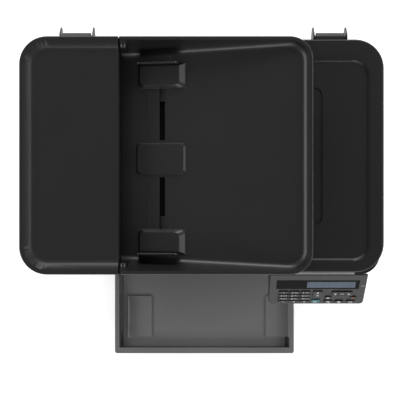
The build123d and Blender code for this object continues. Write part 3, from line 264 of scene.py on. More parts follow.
# %% Plated steel
rolling_scale = (20.0, 900.0, 900.0)


def rolled_steel():
    """Zinc-plated sheet steel with fine lines along X."""
    material, tree = new_material("zinc_plated_steel")
    where = add_node(tree, "ShaderNodeTexCoord").outputs["Object"]
    stretched = add_node(tree, "ShaderNodeMapping", {"Vector": where, "Scale": rolling_scale})
    lines = add_node(tree, "ShaderNodeTexNoise", {
        "Vector": stretched.outputs[0], "Scale": 1.0, "Detail": 4.0})
    gloss = add_node(tree, "ShaderNodeMapRange", {
        "Value": lines.outputs[0], "To Min": 0.26, "To Max": 0.44})
    relief = add_node(tree, "ShaderNodeBump", {"Height": lines.outputs[0], "Distance": 0.01 * mm})
    shader = add_node(tree, "ShaderNodeBsdfPrincipled", {
        "Base Color": colour("#b9bbbd"), "Metallic": 1.0, "Roughness": gloss.outputs[0],
        "Normal": relief.outputs[0]})
    finish_surface(tree, shader)
    return material


steel = rolled_steel()


# %% [markdown]
# ## The platen glass and the display
# Float glass is clear with a green cast, and here a dark well lies under it. The display is a liquid
# crystal panel behind a polished window: unlit, it reads as a blue-grey bar with two faint rows of
# character cells. The platen and the polished plastics come first. The liquid crystal follows with the
# display, because its pattern is turned to the panel's slope.

# %% Glass and display
def platen():
    """Clear float glass."""
    material, tree = new_material("clear_float_glass")
    where = add_node(tree, "ShaderNodeTexCoord").outputs["Object"]
    haze = add_node(tree, "ShaderNodeTexNoise", {"Vector": where, "Scale": 1 / (30 * mm), "Detail": 3.0})
    smear = add_node(tree, "ShaderNodeMapRange", {
        "Value": haze.outputs[0], "To Min": 0.0, "To Max": 0.05})
    shader = add_node(tree, "ShaderNodeBsdfPrincipled", {
        "Base Color": colour("#cfe0da"), "Roughness": smear.outputs[0], "IOR": 1.52,
        "Transmission Weight": 0.85})
    finish_surface(tree, shader)
    return material


def polished(name, code, roughness=0.08, specular=0.5):
    """Polished plastic with the faint unevenness of a moulded window."""
    material, tree = new_material(name)
    where = add_node(tree, "ShaderNodeTexCoord").outputs["Object"]
    ripple = add_node(tree, "ShaderNodeTexNoise", {"Vector": where, "Scale": 1 / (8 * mm), "Detail": 1.0})
    gloss = add_node(tree, "ShaderNodeMapRange", {
        "Value": ripple.outputs[0], "To Min": roughness, "To Max": roughness + 0.06})
    relief = add_node(tree, "ShaderNodeBump", {"Height": ripple.outputs[0], "Distance": 0.01 * mm})
    shader = add_node(tree, "ShaderNodeBsdfPrincipled", {
        "Base Color": colour(code), "Roughness": gloss.outputs[0], "Normal": relief.outputs[0],
        "IOR": 1.49, "Specular IOR Level": specular})
    finish_surface(tree, shader)
    return material


glass = platen()
bezel_gloss = polished("polished_black_acrylic", "#080809", specular=0.05)
button_gloss = polished("polished_black_keycap", "#18181a", 0.2)
start_tint = polished("tinted_teal_polycarbonate", "#2f6a71", 0.2)
legend_white = moulded("printed_white_ink", "#e4e4e2", 0.5, 0.5, 0.004, contrast=0.04)
legend_red = moulded("printed_red_ink", "#a8463a", 0.5, 0.5, 0.004, contrast=0.04)
legend_grey = moulded("printed_grey_ink", "#8b8b8a", 0.5, 0.5, 0.004, contrast=0.04)
# A pale grey paint for a strip that stands in for the highlight on the scanner housing's front edge: painted
# highlight, not a trim that the printer has.
highlight_strip_paint = moulded("painted_highlight_strip", "#b4b5b6", 0.32, 0.6, 0.004, contrast=0.04)


# %% [markdown]
# ## Who rides on what
# Each piece moves with one body of the frame, so that the lid lifts with all that is on it. The record
# says which nodes a body holds, and that same table tells a new piece where it belongs.

# %% Put a piece on its body
bodies = frame["record"]["behaviour"]["bodies"]
body_of_node = {node: body for body, members in bodies.items() for node in members}


def place(piece, node, material, stands_for=True):
    """Gives a piece its finish and its body, and lets it stand for the node."""
    piece.data.materials.clear()
    piece.data.materials.append(material)
    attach(piece, body_of_node[node])
    if stands_for:
        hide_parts(node)
    return piece


def paint_node(node, material):
    """Gives a node of the frame a better material."""
    owner = nodes[node]
    if not owner.material_slots:
        owner.data.materials.append(material)
    for slot in owner.material_slots:
        slot.material = material


# %% [markdown]
# ## The covers of the printer body
# Four upright skins, a chassis and a top frame make the body. They meet in plain butt seams. With every
# edge rounded by half a millimetre, two neighbours leave a fine V groove between them, as real covers
# do.

# %% Body covers
for node, radius, material in (
        ("left_cover", 0.6, cover_abs), ("right_cover", 0.6, cover_abs), ("front_cover", 0.6, cover_abs),
        ("rear_cover", 0.6, cover_abs), ("top_cover", 0.5, cover_abs), ("cartridge_door", 0.6, cover_abs),
        ("bottom_chassis", 0.4, chassis_abs), ("rear_sockets", 0.3, chassis_abs),
        ("lid_hinges", 0.4, cover_abs), ("feeder_base", 0.5, feeder_abs)):
    place(round_edges(merged_copy(node, node + "_shell"), radius * mm), node, material)

# %% Inner pieces keep their solids
for node, material in (
        ("inner_frame", steel), ("carriage_rail", steel), ("main_motor", steel),
        ("laser_unit", chassis_abs), ("toner_cartridge", chassis_abs), ("scan_carriage", chassis_abs),
        ("imaging_drum", drum_coat), ("heat_roller", drum_coat), ("motor_pinion", gear_pom),
        ("pressure_roller", rubber), ("transfer_roller", rubber), ("pickup_roller", rubber),
        ("feed_roller", rubber), ("rubber_feet", rubber), ("circuit_boards", board_lacquer),
        ("scanner_glass", glass), ("lid_pad", foam)):
    paint_node(node, material)

# %% [markdown]
# ## The scanner housing and the painted highlight on its edge
# The housing is a flat box. Along its front edge, just proud of the lid, runs a pale grey bar that stands
# for the highlight on the housing's rounded edge: it is painted highlight, a bright line above the panel.
# It is a bar with rounded long edges, cut to end where the corners begin.

# %% Scanner housing
scanner_shell = round_edges(merged_copy("scanner_housing", "scanner_shell"), 1.2 * mm, 3)
place(scanner_shell, "scanner_housing", cover_abs)
housing_low, housing_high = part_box("scanner_housing")
lid_low, lid_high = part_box("flatbed_lid")
bead_height = 1.6 * mm
bead_share = 0.8
bead_rounding = 0.6 * mm
bead_end_gap = 30 * mm
bead_depth = (lid_low.y - housing_low.y) * bead_share
bead_reach = housing_high.x - bead_end_gap
# The pale bar along the front edge is painted highlight: it stands for the light caught by the housing's rounded
# edge.
bpy.ops.mesh.primitive_cube_add(size=1, location=(0, housing_low.y + bead_depth / 2, housing_high.z))
bead = bpy.context.object
bead.name = "scanner_highlight_strip"
bead.scale = (2 * bead_reach, bead_depth, bead_height)
bpy.ops.object.transform_apply(location=True, rotation=False, scale=True)
open_edit(bead)
choose_edges(bead, lambda edge: abs(edge.verts[0].co.x - edge.verts[1].co.x) > bead_reach)
bpy.ops.mesh.bevel(offset=bead_rounding, segments=3, affect="EDGES")
close_edit()
bpy.ops.object.shade_smooth_by_angle(angle=smooth_limit)
place(bead, "scanner_housing", highlight_strip_paint, stands_for=False)
print("bead:", round(2 * bead_reach / mm), "mm long,", round(bead_depth / mm, 2), "mm deep")

# %% [markdown]
# ## The flatbed lid
# The lid's top has a wide shallow recess, and a narrower one for the fingers beside the feeder. On the
# mould the recess runs out in a soft hollow curve, so its floor's outline is selected and given a wide
# bevel first. The small rounding of every other edge comes after it.

# %% Lid
recess_depth = 3.0 * mm
recess_curve = 4.6 * mm
recess_level = lid_high.z - recess_depth


def at_level(edge, level, within=0.05 * mm):
    """True for an edge that lies at one height."""
    return all(abs(vertex.co.z - level) < within for vertex in edge.verts)


lid = merged_copy("flatbed_lid", "lid_shell")
open_edit(lid)
finger_low = 85 * mm
finger_high = 139 * mm
found = choose_edges(lid, lambda edge: at_level(edge, recess_level) and sharp(edge, 8)
                     and not finger_low < middle(edge).x < finger_high)
bpy.ops.mesh.bevel(offset=recess_curve, segments=6, affect="EDGES", clamp_overlap=True)
close_edit()
place(round_edges(lid, 0.7 * mm, 3), "flatbed_lid", lid_abs)
print("lid: softened", found, "edges of the recess")

# %% [markdown]
# ## The feeder's dished cover
# The feeder's rim is narrow and crisp, and inside it the surface falls away in a soft curve to a flat
# floor. The light band in that curve is what shows the depth, seen from above.

# %% Feeder cover
cover_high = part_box("feeder_cover")[1]
dish_depth = 6.0 * mm
dish_curve = 5.5 * mm
dish_level = cover_high.z - dish_depth
cover = merged_copy("feeder_cover", "feeder_cover_shell")
open_edit(cover)
found = choose_edges(cover, lambda edge: at_level(edge, dish_level) and sharp(edge, 8)
                     and middle(edge).x < cover_high.x - 1 * mm)
bpy.ops.mesh.bevel(offset=dish_curve, segments=7, affect="EDGES", clamp_overlap=True)
close_edit()
place(round_edges(cover, 0.5 * mm, 2), "feeder_cover", feeder_abs)
print("feeder cover: softened", found, "edges of the dish")

# %% [markdown]
# ## The document tray
# The trough's floor rises to the right, and drafted walls close it on three sides. The same wide bevel
# goes where the walls meet the floor. The pad in the middle gets round corners, and its top face is
# drawn in a little, which gives its sides their draft. A point is on the floor when its height above
# the sloping plane is nothing, so the plane is written once, as a point and a slope.

# %% The sloping floor
floor_start = Vector((-95.0, 49.6, 265.0)) * mm
floor_rise = 33.0 * mm
floor_run = 205.0 * mm
floor_tilt = atan2(floor_rise, floor_run)
floor_across = Vector((cos(floor_tilt), 0, sin(floor_tilt)))
floor_up = Vector((-sin(floor_tilt), 0, cos(floor_tilt)))
floor_turn = Matrix((floor_across, (0, 1, 0), floor_up)).transposed().to_4x4()


def above_floor(point):
    """The height of a point above the trough's floor."""
    return (point - floor_start).dot(floor_up)


def to_floor(piece):
    """Moves a mesh modelled about the origin onto the trough's floor."""
    piece.data.transform(Matrix.Translation(floor_start) @ floor_turn)


# %% Document tray
far_half = 105 * mm
near_end = 90 * mm
trough_curve = 6.0 * mm
pad_level = 2.6 * mm
pad_middle = 44.6 * mm
pad_reach = 20 * mm
pad_corner = 5.0 * mm
pad_draft = (0.92, 0.90, 1.0)


def on_pad_corner(edge):
    """True for one of the pad's upright edges."""
    along = (edge.verts[0].co - edge.verts[1].co).normalized()
    centre = middle(edge)
    return (abs(above_floor(centre) - pad_level / 2) < 0.2 * mm and abs(along.dot(floor_up)) > 0.99
            and abs(centre.y - floor_start.y) < pad_reach)


def on_trough_edge(edge):
    """True for an edge where the floor meets one of the three walls."""
    centre = middle(edge)
    return (all(abs(above_floor(vertex.co)) < 0.05 * mm for vertex in edge.verts) and sharp(edge, 8)
            and (abs(centre.y - floor_start.y) > far_half or centre.x > near_end))


tray = merged_copy("document_tray", "document_tray_shell")
open_edit(tray)
print("pad: rounded", choose_edges(tray, on_pad_corner), "corners")
bpy.ops.mesh.bevel(offset=pad_corner, segments=6, affect="EDGES")
bpy.ops.mesh.select_all(action="DESELECT")
choose_faces(tray, lambda face: abs(above_floor(face.calc_center_median()) - pad_level) < 0.05 * mm
             and face.normal.dot(floor_up) > 0.99)
pad_centre = floor_start + floor_across * pad_middle + floor_up * pad_level
bpy.ops.transform.resize(value=pad_draft, center_override=pad_centre)
bpy.ops.mesh.select_all(action="DESELECT")
found = choose_edges(tray, on_trough_edge)
bpy.ops.mesh.bevel(offset=trough_curve, segments=7, affect="EDGES", clamp_overlap=False)
close_edit()
place(round_edges(tray, 0.5 * mm, 2), "document_tray", feeder_abs)
print("document tray: softened", found, "edges of the trough")

# %% [markdown]
# ## Document guides
# Each guide is a low raised block with sloping flanks, which a finger pushes, and an upright fence
# along its outer edge, which keeps the stack square. It starts as a box in the floor's own plane: its
# top face is drawn in, the corners on the inner side are rounded wide, and a second box makes the
# fence.

# %% Boxes that become pieces
def box_between(name, low, high):
    """A box between two corners, as the start of a piece."""
    low, high = Vector(low), Vector(high)
    bpy.ops.object.select_all(action="DESELECT")
    bpy.ops.mesh.primitive_cube_add(size=1, location=(low + high) / 2)
    made = bpy.context.object
    made.name = name
    made.scale = high - low
    bpy.ops.object.transform_apply(location=True, rotation=False, scale=True)
    return made


def join(pieces, name):
    """Joins several pieces into the first one."""
    activate(pieces[0])
    for other in pieces[1:]:
        other.select_set(True)
    bpy.ops.object.join()
    pieces[0].name = name
    return pieces[0]


# %% Guides
guide_start = 17.6 * mm
guide_length = 56.3 * mm
fence_length = 49.0 * mm
guide_low = 0.4 * mm
guide_top = 5.4 * mm
fence_top = 19.0 * mm
stack_half = 108.0 * mm
fence_thickness = 2.2 * mm
guide_reach = 27.0 * mm
flank_end = 7.5 * mm
flank_side = 3.2 * mm
grip_corner = 5 * mm
fence_corner = 5 * mm


def guide(side, name):
    """A guide for one side: 1 for the rear and -1 for the front."""
    inner, outer = sorted((side * (stack_half - guide_reach), side * (stack_half + fence_thickness)))
    block = box_between(name, (guide_start, inner, guide_low),
                        (guide_start + guide_length, outer, guide_top))
    open_edit(block)
    mesh = bmesh.from_edit_mesh(block.data)
    for vertex in mesh.verts:
        if vertex.co.z > guide_top - 0.01 * mm:
            vertex.co.x += flank_side if vertex.co.x < guide_start + guide_length / 2 else -flank_end
            vertex.co.y += flank_side if vertex.co.y < (inner + outer) / 2 else -flank_side
    bmesh.update_edit_mesh(block.data)
    choose_edges(block, lambda edge: abs(edge.verts[0].co.z - edge.verts[1].co.z) > 3 * mm
                 and side * middle(edge).y < stack_half - guide_reach / 2)
    bpy.ops.mesh.bevel(offset=grip_corner, segments=6, affect="EDGES")
    close_edit()
    near, far = sorted((side * stack_half, side * (stack_half + fence_thickness)))
    fence = box_between(name + "_fence", (guide_start, near, guide_low),
                        (guide_start + fence_length, far, fence_top))
    open_edit(fence)
    choose_edges(fence, lambda edge: middle(edge).z > fence_top - 0.01 * mm
                 and abs(edge.verts[0].co.y - edge.verts[1].co.y) > 1 * mm)
    bpy.ops.mesh.bevel(offset=fence_corner, segments=5, affect="EDGES")
    close_edit()
    for part in (block, fence):
        round_edges(part, 0.5 * mm, 2, angle=30)
    return join([block, fence], name)


# %% [markdown]
# ## The guides' stems and racks
# Under the floor each guide has a stem through the slot and a flat arm. Those are in the frame's solid,
# which stays hidden, so the visible guide takes a copy of the solid's lower part: a bisect keeps what
# lies below the block.

# %% Guides on their bodies
for side, node in ((1, "document_guide_rear"), (-1, "document_guide_front")):
    grip = guide(side, node + "_grip")
    to_floor(grip)
    stem = merged_copy(node, node + "_stem")
    open_edit(stem, "SELECT")
    bpy.ops.mesh.bisect(plane_co=floor_start + floor_up * 1.2 * mm, plane_no=floor_up, use_fill=True,
                        clear_outer=True)
    close_edit()
    round_edges(stem, 0.25 * mm, 2)
    place(join([grip, stem], node + "_shell"), node, feeder_abs)

# %% [markdown]
# ## The mark on the pad
# On the middle pad such feeders have a small sign in relief that says which way up the originals go
# in. It is a rectangle with four short lines in it, raised a few tenths of a millimetre. Each line is a
# thin box with rounded edges, and the boxes are joined into one piece.

# %% Sign on the pad
sign_relief = 0.35 * mm
sign_root = 0.2 * mm
sign_line = 0.7 * mm
sign_half = (8.0 * mm, 6.0 * mm)
writing_half = 5.2 * mm
writing_short = 2.0 * mm
writing_pitch = 2.6 * mm
writing_rows = 4
strips = []


def add_strip(name, low_x, high_x, low_y, high_y):
    """A raised line of the sign, between two places along and two across."""
    strips.append(box_between(name, (low_x, low_y, pad_level - sign_root),
                              (high_x, high_y, pad_level + sign_relief)))


for row in range(writing_rows):
    line_y = (row - (writing_rows - 1) / 2) * writing_pitch
    line_end = pad_middle + (writing_half if row else writing_short)
    add_strip("writing", pad_middle - writing_half, line_end, line_y - sign_line / 2,
              line_y + sign_line / 2)
for side in (-1, 1):
    edge_x = pad_middle + side * sign_half[0]
    edge_y = side * sign_half[1]
    add_strip("side", edge_x - sign_line / 2, edge_x + sign_line / 2, -sign_half[1], sign_half[1])
    add_strip("end", pad_middle - sign_half[0], pad_middle + sign_half[0], edge_y - sign_line / 2,
              edge_y + sign_line / 2)
sign = join(strips, "page_sign")
round_edges(sign, 0.12 * mm, 2)
to_floor(sign)
place(sign, "document_tray", feeder_abs, stands_for=False)

# %% [markdown]
# ## Ribs under the guides
# Two thin ribs run across the floor under each guide and on towards the pad. They carry the stack
# clear of the floor, and they also mark where the guide's block runs.

# %% Floor ribs
rib_height = 0.35 * mm
rib_half = 0.35 * mm
rib_root = 0.2 * mm
rib_start = 40 * mm
rib_end = 119 * mm
rib_places = (29.5 * mm, 55.0 * mm)
ribs = []
for along in rib_places:
    for side in (-1, 1):
        near, far = sorted((side * rib_start, side * rib_end))
        ribs.append(box_between("rib", (along - rib_half, near, -rib_root),
                                (along + rib_half, far, rib_height)))
floor_ribs = join(ribs, "floor_ribs")
round_edges(floor_ribs, 0.15 * mm, 2)
to_floor(floor_ribs)
place(floor_ribs, "document_tray", feeder_abs, stands_for=False)

# %% [markdown]
# ## The front tray
# The folding tray and its two guides are satin, and a lighter grey than the rest. Its bars are thick, so
# they get a wider rounding than the covers.

# %% Front tray and its guides
place(round_edges(merged_copy("front_tray", "paper_tray_shell"), 0.9 * mm, 3), "front_tray", tray_abs)
for node in ("tray_guide_left", "tray_guide_right"):
    place(round_edges(merged_copy(node, node + "_shell"), 0.5 * mm, 2), node, tray_abs)

# %% [markdown]
# ## The control panel
# The panel is a wedge under the front edge of the scanner. Everything on it is laid out in its own
# plane: across, up the slope, and out of the face. The keys slide straight into the face, so the axis
# of a key's joint gives the direction, and a node's corners measured along the three directions give
# its place.

# %% The panel's own directions
press_axis = Vector(next(j["axis"] for j in frame["joints"] if j["name"] == "ok_key_press"))
panel_out = -press_axis.normalized()
panel_across = Vector((1, 0, 0))
panel_up = panel_out.cross(panel_across)
panel_turn = Matrix((panel_across, panel_up, panel_out)).transposed().to_4x4()


def panel_box(node):
    """The lowest and highest corners of a node along the panel's own directions."""
    corners = [panel_turn.transposed() @ vertex.co for vertex in nodes[node].data.vertices]
    low = Vector([min(c[axis] for c in corners) for axis in range(3)])
    high = Vector([max(c[axis] for c in corners) for axis in range(3)])
    return low, high


def to_panel(piece, point):
    """Moves a mesh modelled about the origin to a point given along the panel's directions."""
    piece.data.transform(panel_turn @ Matrix.Translation(point))


panel_low, panel_high = panel_box("panel_housing")
display_high = panel_box("display")[1]
print("panel:", [round(v / mm, 1) for v in panel_high - panel_low], "mm")

# %% Panel housing
housing_corner = 4 * mm
box_low, box_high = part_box("panel_housing")


def on_front_corner(edge):
    """True for an upright edge at one of the panel's two front corners."""
    rise = edge.verts[0].co - edge.verts[1].co
    centre = middle(edge)
    return (abs(rise.z) > 3 * mm and abs(rise.x) < 0.1 * mm and centre.y < box_low.y + 0.5 * mm
            and min(centre.x - box_low.x, box_high.x - centre.x) < 0.5 * mm)


housing = merged_copy("panel_housing", "panel_shell")
open_edit(housing)
choose_edges(housing, on_front_corner)
bpy.ops.mesh.bevel(offset=housing_corner, segments=5, affect="EDGES", clamp_overlap=True)
close_edit()
place(round_edges(housing, 0.45 * mm, 2, angle=40), "panel_housing", panel_abs)

# %% [markdown]
# ## The display
# A polished black bezel holds the window. The liquid crystal panel is a separate slab with its own
# material: a blue-grey field, and rows of character cells a shade darker. The cells are drawn by a
# brick pattern without an offset between its rows, at the real pitch of such a module.

# %% Liquid crystal material
def liquid_crystal():
    """An unlit blue-grey character display, two rows of sixteen cells."""
    material, tree = new_material("blue_grey_liquid_crystal")
    where = add_node(tree, "ShaderNodeTexCoord").outputs["Object"]
    slope = atan2(panel_up.z, panel_up.y)
    flat = add_node(tree, "ShaderNodeMapping", {"Vector": where, "Rotation": (-slope, 0, 0)})
    cells = add_node(tree, "ShaderNodeTexBrick", {
        "Vector": flat.outputs[0], "Scale": 1.0, "Color1": colour("#324459"), "Color2": colour("#35485e"),
        "Mortar": colour("#3d5268"), "Mortar Size": 0.35 * mm, "Brick Width": 3.5 * mm,
        "Row Height": 5.2 * mm}, offset=0.0)
    cloud = add_node(tree, "ShaderNodeTexNoise", {"Vector": where, "Scale": 1 / (25 * mm)})
    spread = add_node(tree, "ShaderNodeMapRange", {
        "Value": cloud.outputs[0], "To Min": 0.85, "To Max": 1.2})
    base = add_node(tree, "ShaderNodeVectorMath", {
        0: cells.outputs["Color"], "Scale": spread.outputs[0]}, operation="SCALE")
    gloss = add_node(tree, "ShaderNodeMapRange", {
        "Value": cloud.outputs[0], "To Min": 0.18, "To Max": 0.26})
    shader = add_node(tree, "ShaderNodeBsdfPrincipled", {
        "Base Color": base.outputs[0], "Roughness": gloss.outputs[0], "IOR": 1.5})
    finish_surface(tree, shader)
    return material


# %% Bezel and window
place(round_edges(merged_copy("display", "display_bezel"), 0.2 * mm, 2), "display", bezel_gloss)
window_left = 125.5 * mm
window_right = 184.9 * mm
window_down = (13.6 * mm, 26.2 * mm)
window_rise = 0.12 * mm
window_root = 0.5 * mm
window_rim = 0.5 * mm
bezel_rise = 0.2 * mm
bezel_down = 10.7 * mm
face_top = display_high.y + bezel_down
face_level = display_high.z - bezel_rise
window = box_between("display_window", (window_left, -window_down[1], -window_root),
                     (window_right, -window_down[0], window_rise))
open_edit(window)
choose_faces(window, lambda face: face.normal.z > 0.9)
bpy.ops.mesh.inset(thickness=window_rim, depth=0)
close_edit()
round_edges(window, 0.1 * mm, 2)
to_panel(window, (0, face_top, face_level))
place(window, "display", liquid_crystal(), stands_for=False)

# %% [markdown]
# ## Keys and their legends
# Each key is a small cap that stands a little above the face. Its legend is a thin layer of ink: a
# digit, a few letters, or a plain sign. Text is turned into a mesh, because only a mesh can be moved
# onto the sloping face for good.

# %% Legends from text and from signs
ink_height = 0.05 * mm


def written(text, size):
    """Text as a thin mesh, centred on the origin."""
    bpy.ops.object.select_all(action="DESELECT")
    bpy.ops.object.text_add()
    made = bpy.context.object
    made.data.body = text
    made.data.size = size
    made.data.extrude = ink_height / 2
    made.data.align_x = "CENTER"
    made.data.align_y = "CENTER"
    made.data.resolution_u = 3
    bpy.ops.object.convert(target="MESH")
    return bpy.context.object


def many_sided(sides, radius, turn=0.0, stretch=1.0):
    """A flat sign with a number of sides, raised to the height of the ink."""
    bpy.ops.object.select_all(action="DESELECT")
    bpy.ops.mesh.primitive_circle_add(vertices=sides, radius=radius, fill_type="NGON",
                                      rotation=(0, 0, turn))
    made = bpy.context.object
    bpy.ops.object.transform_apply(location=False, rotation=True, scale=False)
    made.data.transform(Matrix.Diagonal((1, stretch, 1, 1)))
    open_edit(made, "SELECT")
    bpy.ops.mesh.extrude_region_move(TRANSFORM_OT_translate={"value": (0, 0, ink_height)})
    close_edit()
    return made


def bar(width, height, x=0.0, y=0.0):
    """A flat bar of ink."""
    return box_between("ink", (x - width / 2, y - height / 2, 0),
                       (x + width / 2, y + height / 2, ink_height))


def moved(piece, x, y):
    """Shifts a mesh within the face."""
    piece.data.transform(Matrix.Translation((x, y, 0)))
    return piece


def frame_sign(width, height, line, x=0.0, y=0.0):
    """The outline of a rectangle."""
    return [bar(width, line, x, y + height / 2), bar(width, line, x, y - height / 2),
            bar(line, height, x + width / 2, y), bar(line, height, x - width / 2, y)]


# %% What each key shows
letters = {"key_2": "ABC", "key_3": "DEF", "key_4": "GHI", "key_5": "JKL", "key_6": "MNO",
           "key_7": "PQRS", "key_8": "TUV", "key_9": "WXYZ"}
digit_size = 4.2 * mm
digit_shift = -2.6 * mm
letter_size = 2.4 * mm
letter_shift = 2.0 * mm
word_size = 3.0 * mm
arrow_size = 1.9 * mm
scroll_reach = 2.8 * mm
arrow_reach = 8.3 * mm
thin_line = 0.5 * mm
frame_line = 0.4 * mm
menu_width = 3.6 * mm
menu_pitch = 1.2 * mm
copy_square = (2.6 * mm, 2.2 * mm)
copy_behind = (-0.7 * mm, 0.3 * mm)
copy_before = (0.9 * mm, -0.4 * mm)
fax_body = (3.8 * mm, 1.6 * mm, 0, -0.5 * mm)
fax_feed = (2.2 * mm, 1.4 * mm, 0, 1.0 * mm)
scan_frame = (4.0 * mm, 2.4 * mm)
scan_line = 2.6 * mm
cancel_size = 1.7 * mm
start_size = 1.8 * mm
start_bar = (0.6 * mm, 3.0 * mm, -2.2 * mm)


def legend_parts(node):
    """The pieces of ink on one key."""
    if node.startswith("key_"):
        mark = {"key_star": "*", "key_hash": "#"}.get(node, node[-1])
        parts = [moved(written(mark, digit_size), digit_shift if node in letters else 0, 0)]
        if node in letters:
            parts.append(moved(written(letters[node], letter_size), letter_shift, 0))
        return parts
    if node == "ok_key":
        return [written("OK", word_size)]
    if node == "scroll_key":
        return [moved(many_sided(3, arrow_size, way * pi / 2), 0, way * scroll_reach) for way in (1, -1)]
    if node == "arrow_key":
        return [moved(many_sided(3, arrow_size, turn), way * arrow_reach, 0)
                for way, turn in ((-1, pi), (1, 0))]
    if node == "menu_key":
        return [bar(menu_width, thin_line, 0, step * menu_pitch) for step in (-1, 0, 1)]
    if node == "copy_key":
        front_square = bar(*copy_square, *copy_before)
        return frame_sign(*copy_square, frame_line, *copy_behind) + [front_square]
    if node == "fax_key":
        return [bar(*fax_body), bar(*fax_feed)]
    if node == "scan_key":
        return frame_sign(*scan_frame, frame_line) + [bar(scan_line, thin_line)]
    if node == "cancel_key":
        return [many_sided(4, cancel_size, pi / 4)]
    return [many_sided(3, start_size, 0), bar(*start_bar)]


# %% Make the keys
keys = sorted(node for node in nodes if node.endswith("_key") or node.startswith("key_"))
for node in keys:
    low, high = panel_box(node)
    cap = round_edges(merged_copy(node, node + "_cap"), 0.45 * mm, 3)
    place(cap, node, start_tint if node == "start_key" else key_abs)
    legend = join(legend_parts(node), node + "_legend")
    to_panel(legend, ((low.x + high.x) / 2, (low.y + high.y) / 2, high.z + 0.01 * mm))
    ink = legend_red if node == "cancel_key" else legend_white
    place(legend, node, ink, stands_for=False)
print("keys:", len(keys))

# %% [markdown]
# ## Small marks
# A pale lamp lens sits in the face beside the display, and the power button has the usual ring and
# stroke.

# %% Lamp
lamp_x = 194.0 * mm
lamp_down = 22.4 * mm
lamp_half_width = 2.2 * mm
lamp_squash = 0.5
lamp = many_sided(16, lamp_half_width, 0, lamp_squash)
to_panel(lamp, (lamp_x, face_top - lamp_down, face_level + 0.02 * mm))
place(lamp, "panel_housing", legend_grey, stands_for=False)
lamp.name = "panel_lamp"

# %% Power button and its sign
button_low, button_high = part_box("power_button")
button_cap = round_edges(merged_copy("power_button", "power_button_cap"), 0.4 * mm, 3)
place(button_cap, "power_button", button_gloss)
ring_radius = 3.0 * mm
ring_wire = 0.28 * mm
gap_from = 2.3 * mm
gap_half = 1.3 * mm
bpy.ops.object.select_all(action="DESELECT")
bpy.ops.mesh.primitive_torus_add(major_radius=ring_radius, minor_radius=ring_wire, major_segments=40,
                                 minor_segments=6)
ring = bpy.context.object
open_edit(ring)
choose_faces(ring, lambda face: face.calc_center_median().y > gap_from
             and abs(face.calc_center_median().x) < gap_half)
bpy.ops.mesh.delete(type="FACE")
bpy.ops.mesh.select_all(action="DESELECT")
choose_edges(ring, lambda edge: edge.is_boundary)
bpy.ops.mesh.edge_face_add()
close_edit()
stroke_low = 0.6 * mm
stroke_high = 3.4 * mm
stroke = box_between("stroke", (-ring_wire, stroke_low, -ring_wire), (ring_wire, stroke_high, ring_wire))
power_sign = join([ring, stroke], "power_sign")
button_middle = (button_low + button_high) / 2
button_face = Vector((button_middle.x, button_low.y, button_middle.z))
power_sign.data.transform(Matrix.Translation(button_face) @ Matrix.Rotation(pi / 2, 4, "X"))
place(power_sign, "power_button", legend_white, stands_for=False)

# %% [markdown]
# ## Floor, light and camera
# The printer stands on a plain pale floor in front of white. The light is soft and comes mostly from
# the sides and the rear, so that flat faces stay dark and every slope that faces inwards picks up a
# pale band. The camera looks straight down from a metre and a half. The floor and the world are pale
# for the rays that look at them, and the world is dim for the rays that light the printer.

# %% Which rays see a surface
def seen_by(tree, *rays):
    """One for the kinds of ray that are named, and nothing for the others."""
    light_path = add_node(tree, "ShaderNodeLightPath")
    seen = light_path.outputs[rays[0]]
    for ray in rays[1:]:
        seen = add_node(tree, "ShaderNodeMath", {0: seen, 1: light_path.outputs[ray]},
                        operation="MAXIMUM").outputs[0]
    return seen


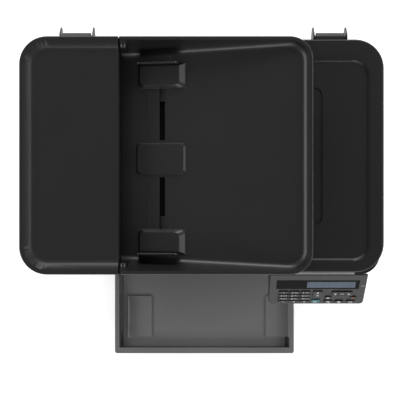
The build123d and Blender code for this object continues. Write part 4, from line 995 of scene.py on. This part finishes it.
# %% Floor
floor_size = 9
floor_lift = 0.6
bpy.ops.object.select_all(action="DESELECT")
bpy.ops.mesh.primitive_plane_add(size=floor_size, location=(0, 0, 0))
floor = bpy.context.object
floor.name = "studio_floor"
floor_paint, tree = new_material("pale_studio_floor")
seen = seen_by(tree, "Is Camera Ray", "Is Glossy Ray", "Is Transmission Ray")
lift = add_node(tree, "ShaderNodeMath", {0: seen, 1: floor_lift}, operation="MULTIPLY")
pale = add_node(tree, "ShaderNodeBsdfDiffuse", {"Color": colour("#ececec")})
glow = add_node(tree, "ShaderNodeEmission", {"Color": (1, 1, 1, 1), "Strength": lift.outputs[0]})
finish_surface(tree, add_node(tree, "ShaderNodeAddShader", {0: pale.outputs[0], 1: glow.outputs[0]}))
floor.data.materials.append(floor_paint)

# %% World
room_light = 0.16
world = bpy.data.worlds.new("studio")
scene.world = world
world.use_nodes = True
tree = world.node_tree
tree.nodes.clear()
seen = seen_by(tree, "Is Camera Ray", "Is Transmission Ray")
level = add_node(tree, "ShaderNodeMapRange", {"Value": seen, "To Min": room_light, "To Max": 1.0})
backdrop = add_node(tree, "ShaderNodeBackground", {"Color": (1, 1, 1, 1), "Strength": level.outputs[0]})
add_node(tree, "ShaderNodeOutputWorld", {"Surface": backdrop.outputs[0]})


# %% Lamps
def softbox(name, place_at, aim, width, height, power):
    """A rectangular soft light that faces a point."""
    lamp_data = bpy.data.lights.new(name, "AREA")
    lamp_data.shape = "RECTANGLE"
    lamp_data.size = width
    lamp_data.size_y = height
    lamp_data.energy = power
    lamp_object = bpy.data.objects.new(name, lamp_data)
    lamp_object.location = place_at
    lamp_object.rotation_euler = (Vector(aim) - Vector(place_at)).to_track_quat("-Z", "Y").to_euler()
    scene.collection.objects.link(lamp_object)


lamp_reach = 2.1
lamp_height = 1.35
softbox("left_softbox", (-lamp_reach, 0.1, lamp_height), (0, 0, 0.25), 1.6, 1.2, 22)
softbox("right_softbox", (lamp_reach, 0.1, lamp_height), (0, 0, 0.25), 1.6, 1.2, 24)
softbox("rear_softbox", (0.0, lamp_reach, lamp_height), (0, 0, 0.25), 1.8, 1.0, 34)
softbox("front_softbox", (0.0, -lamp_reach, lamp_height), (0, 0, 0.2), 1.8, 1.0, 22)

# %% Camera
camera_place = (-0.006, 0.002, 1.570)
camera_lens = 101.25
camera_data = bpy.data.cameras.new("camera")
camera_data.lens = camera_lens
camera_data.sensor_width = 36.0
camera = bpy.data.objects.new("camera", camera_data)
camera.location = camera_place
scene.collection.objects.link(camera)
scene.camera = camera
scene.view_settings.view_transform = "Standard"
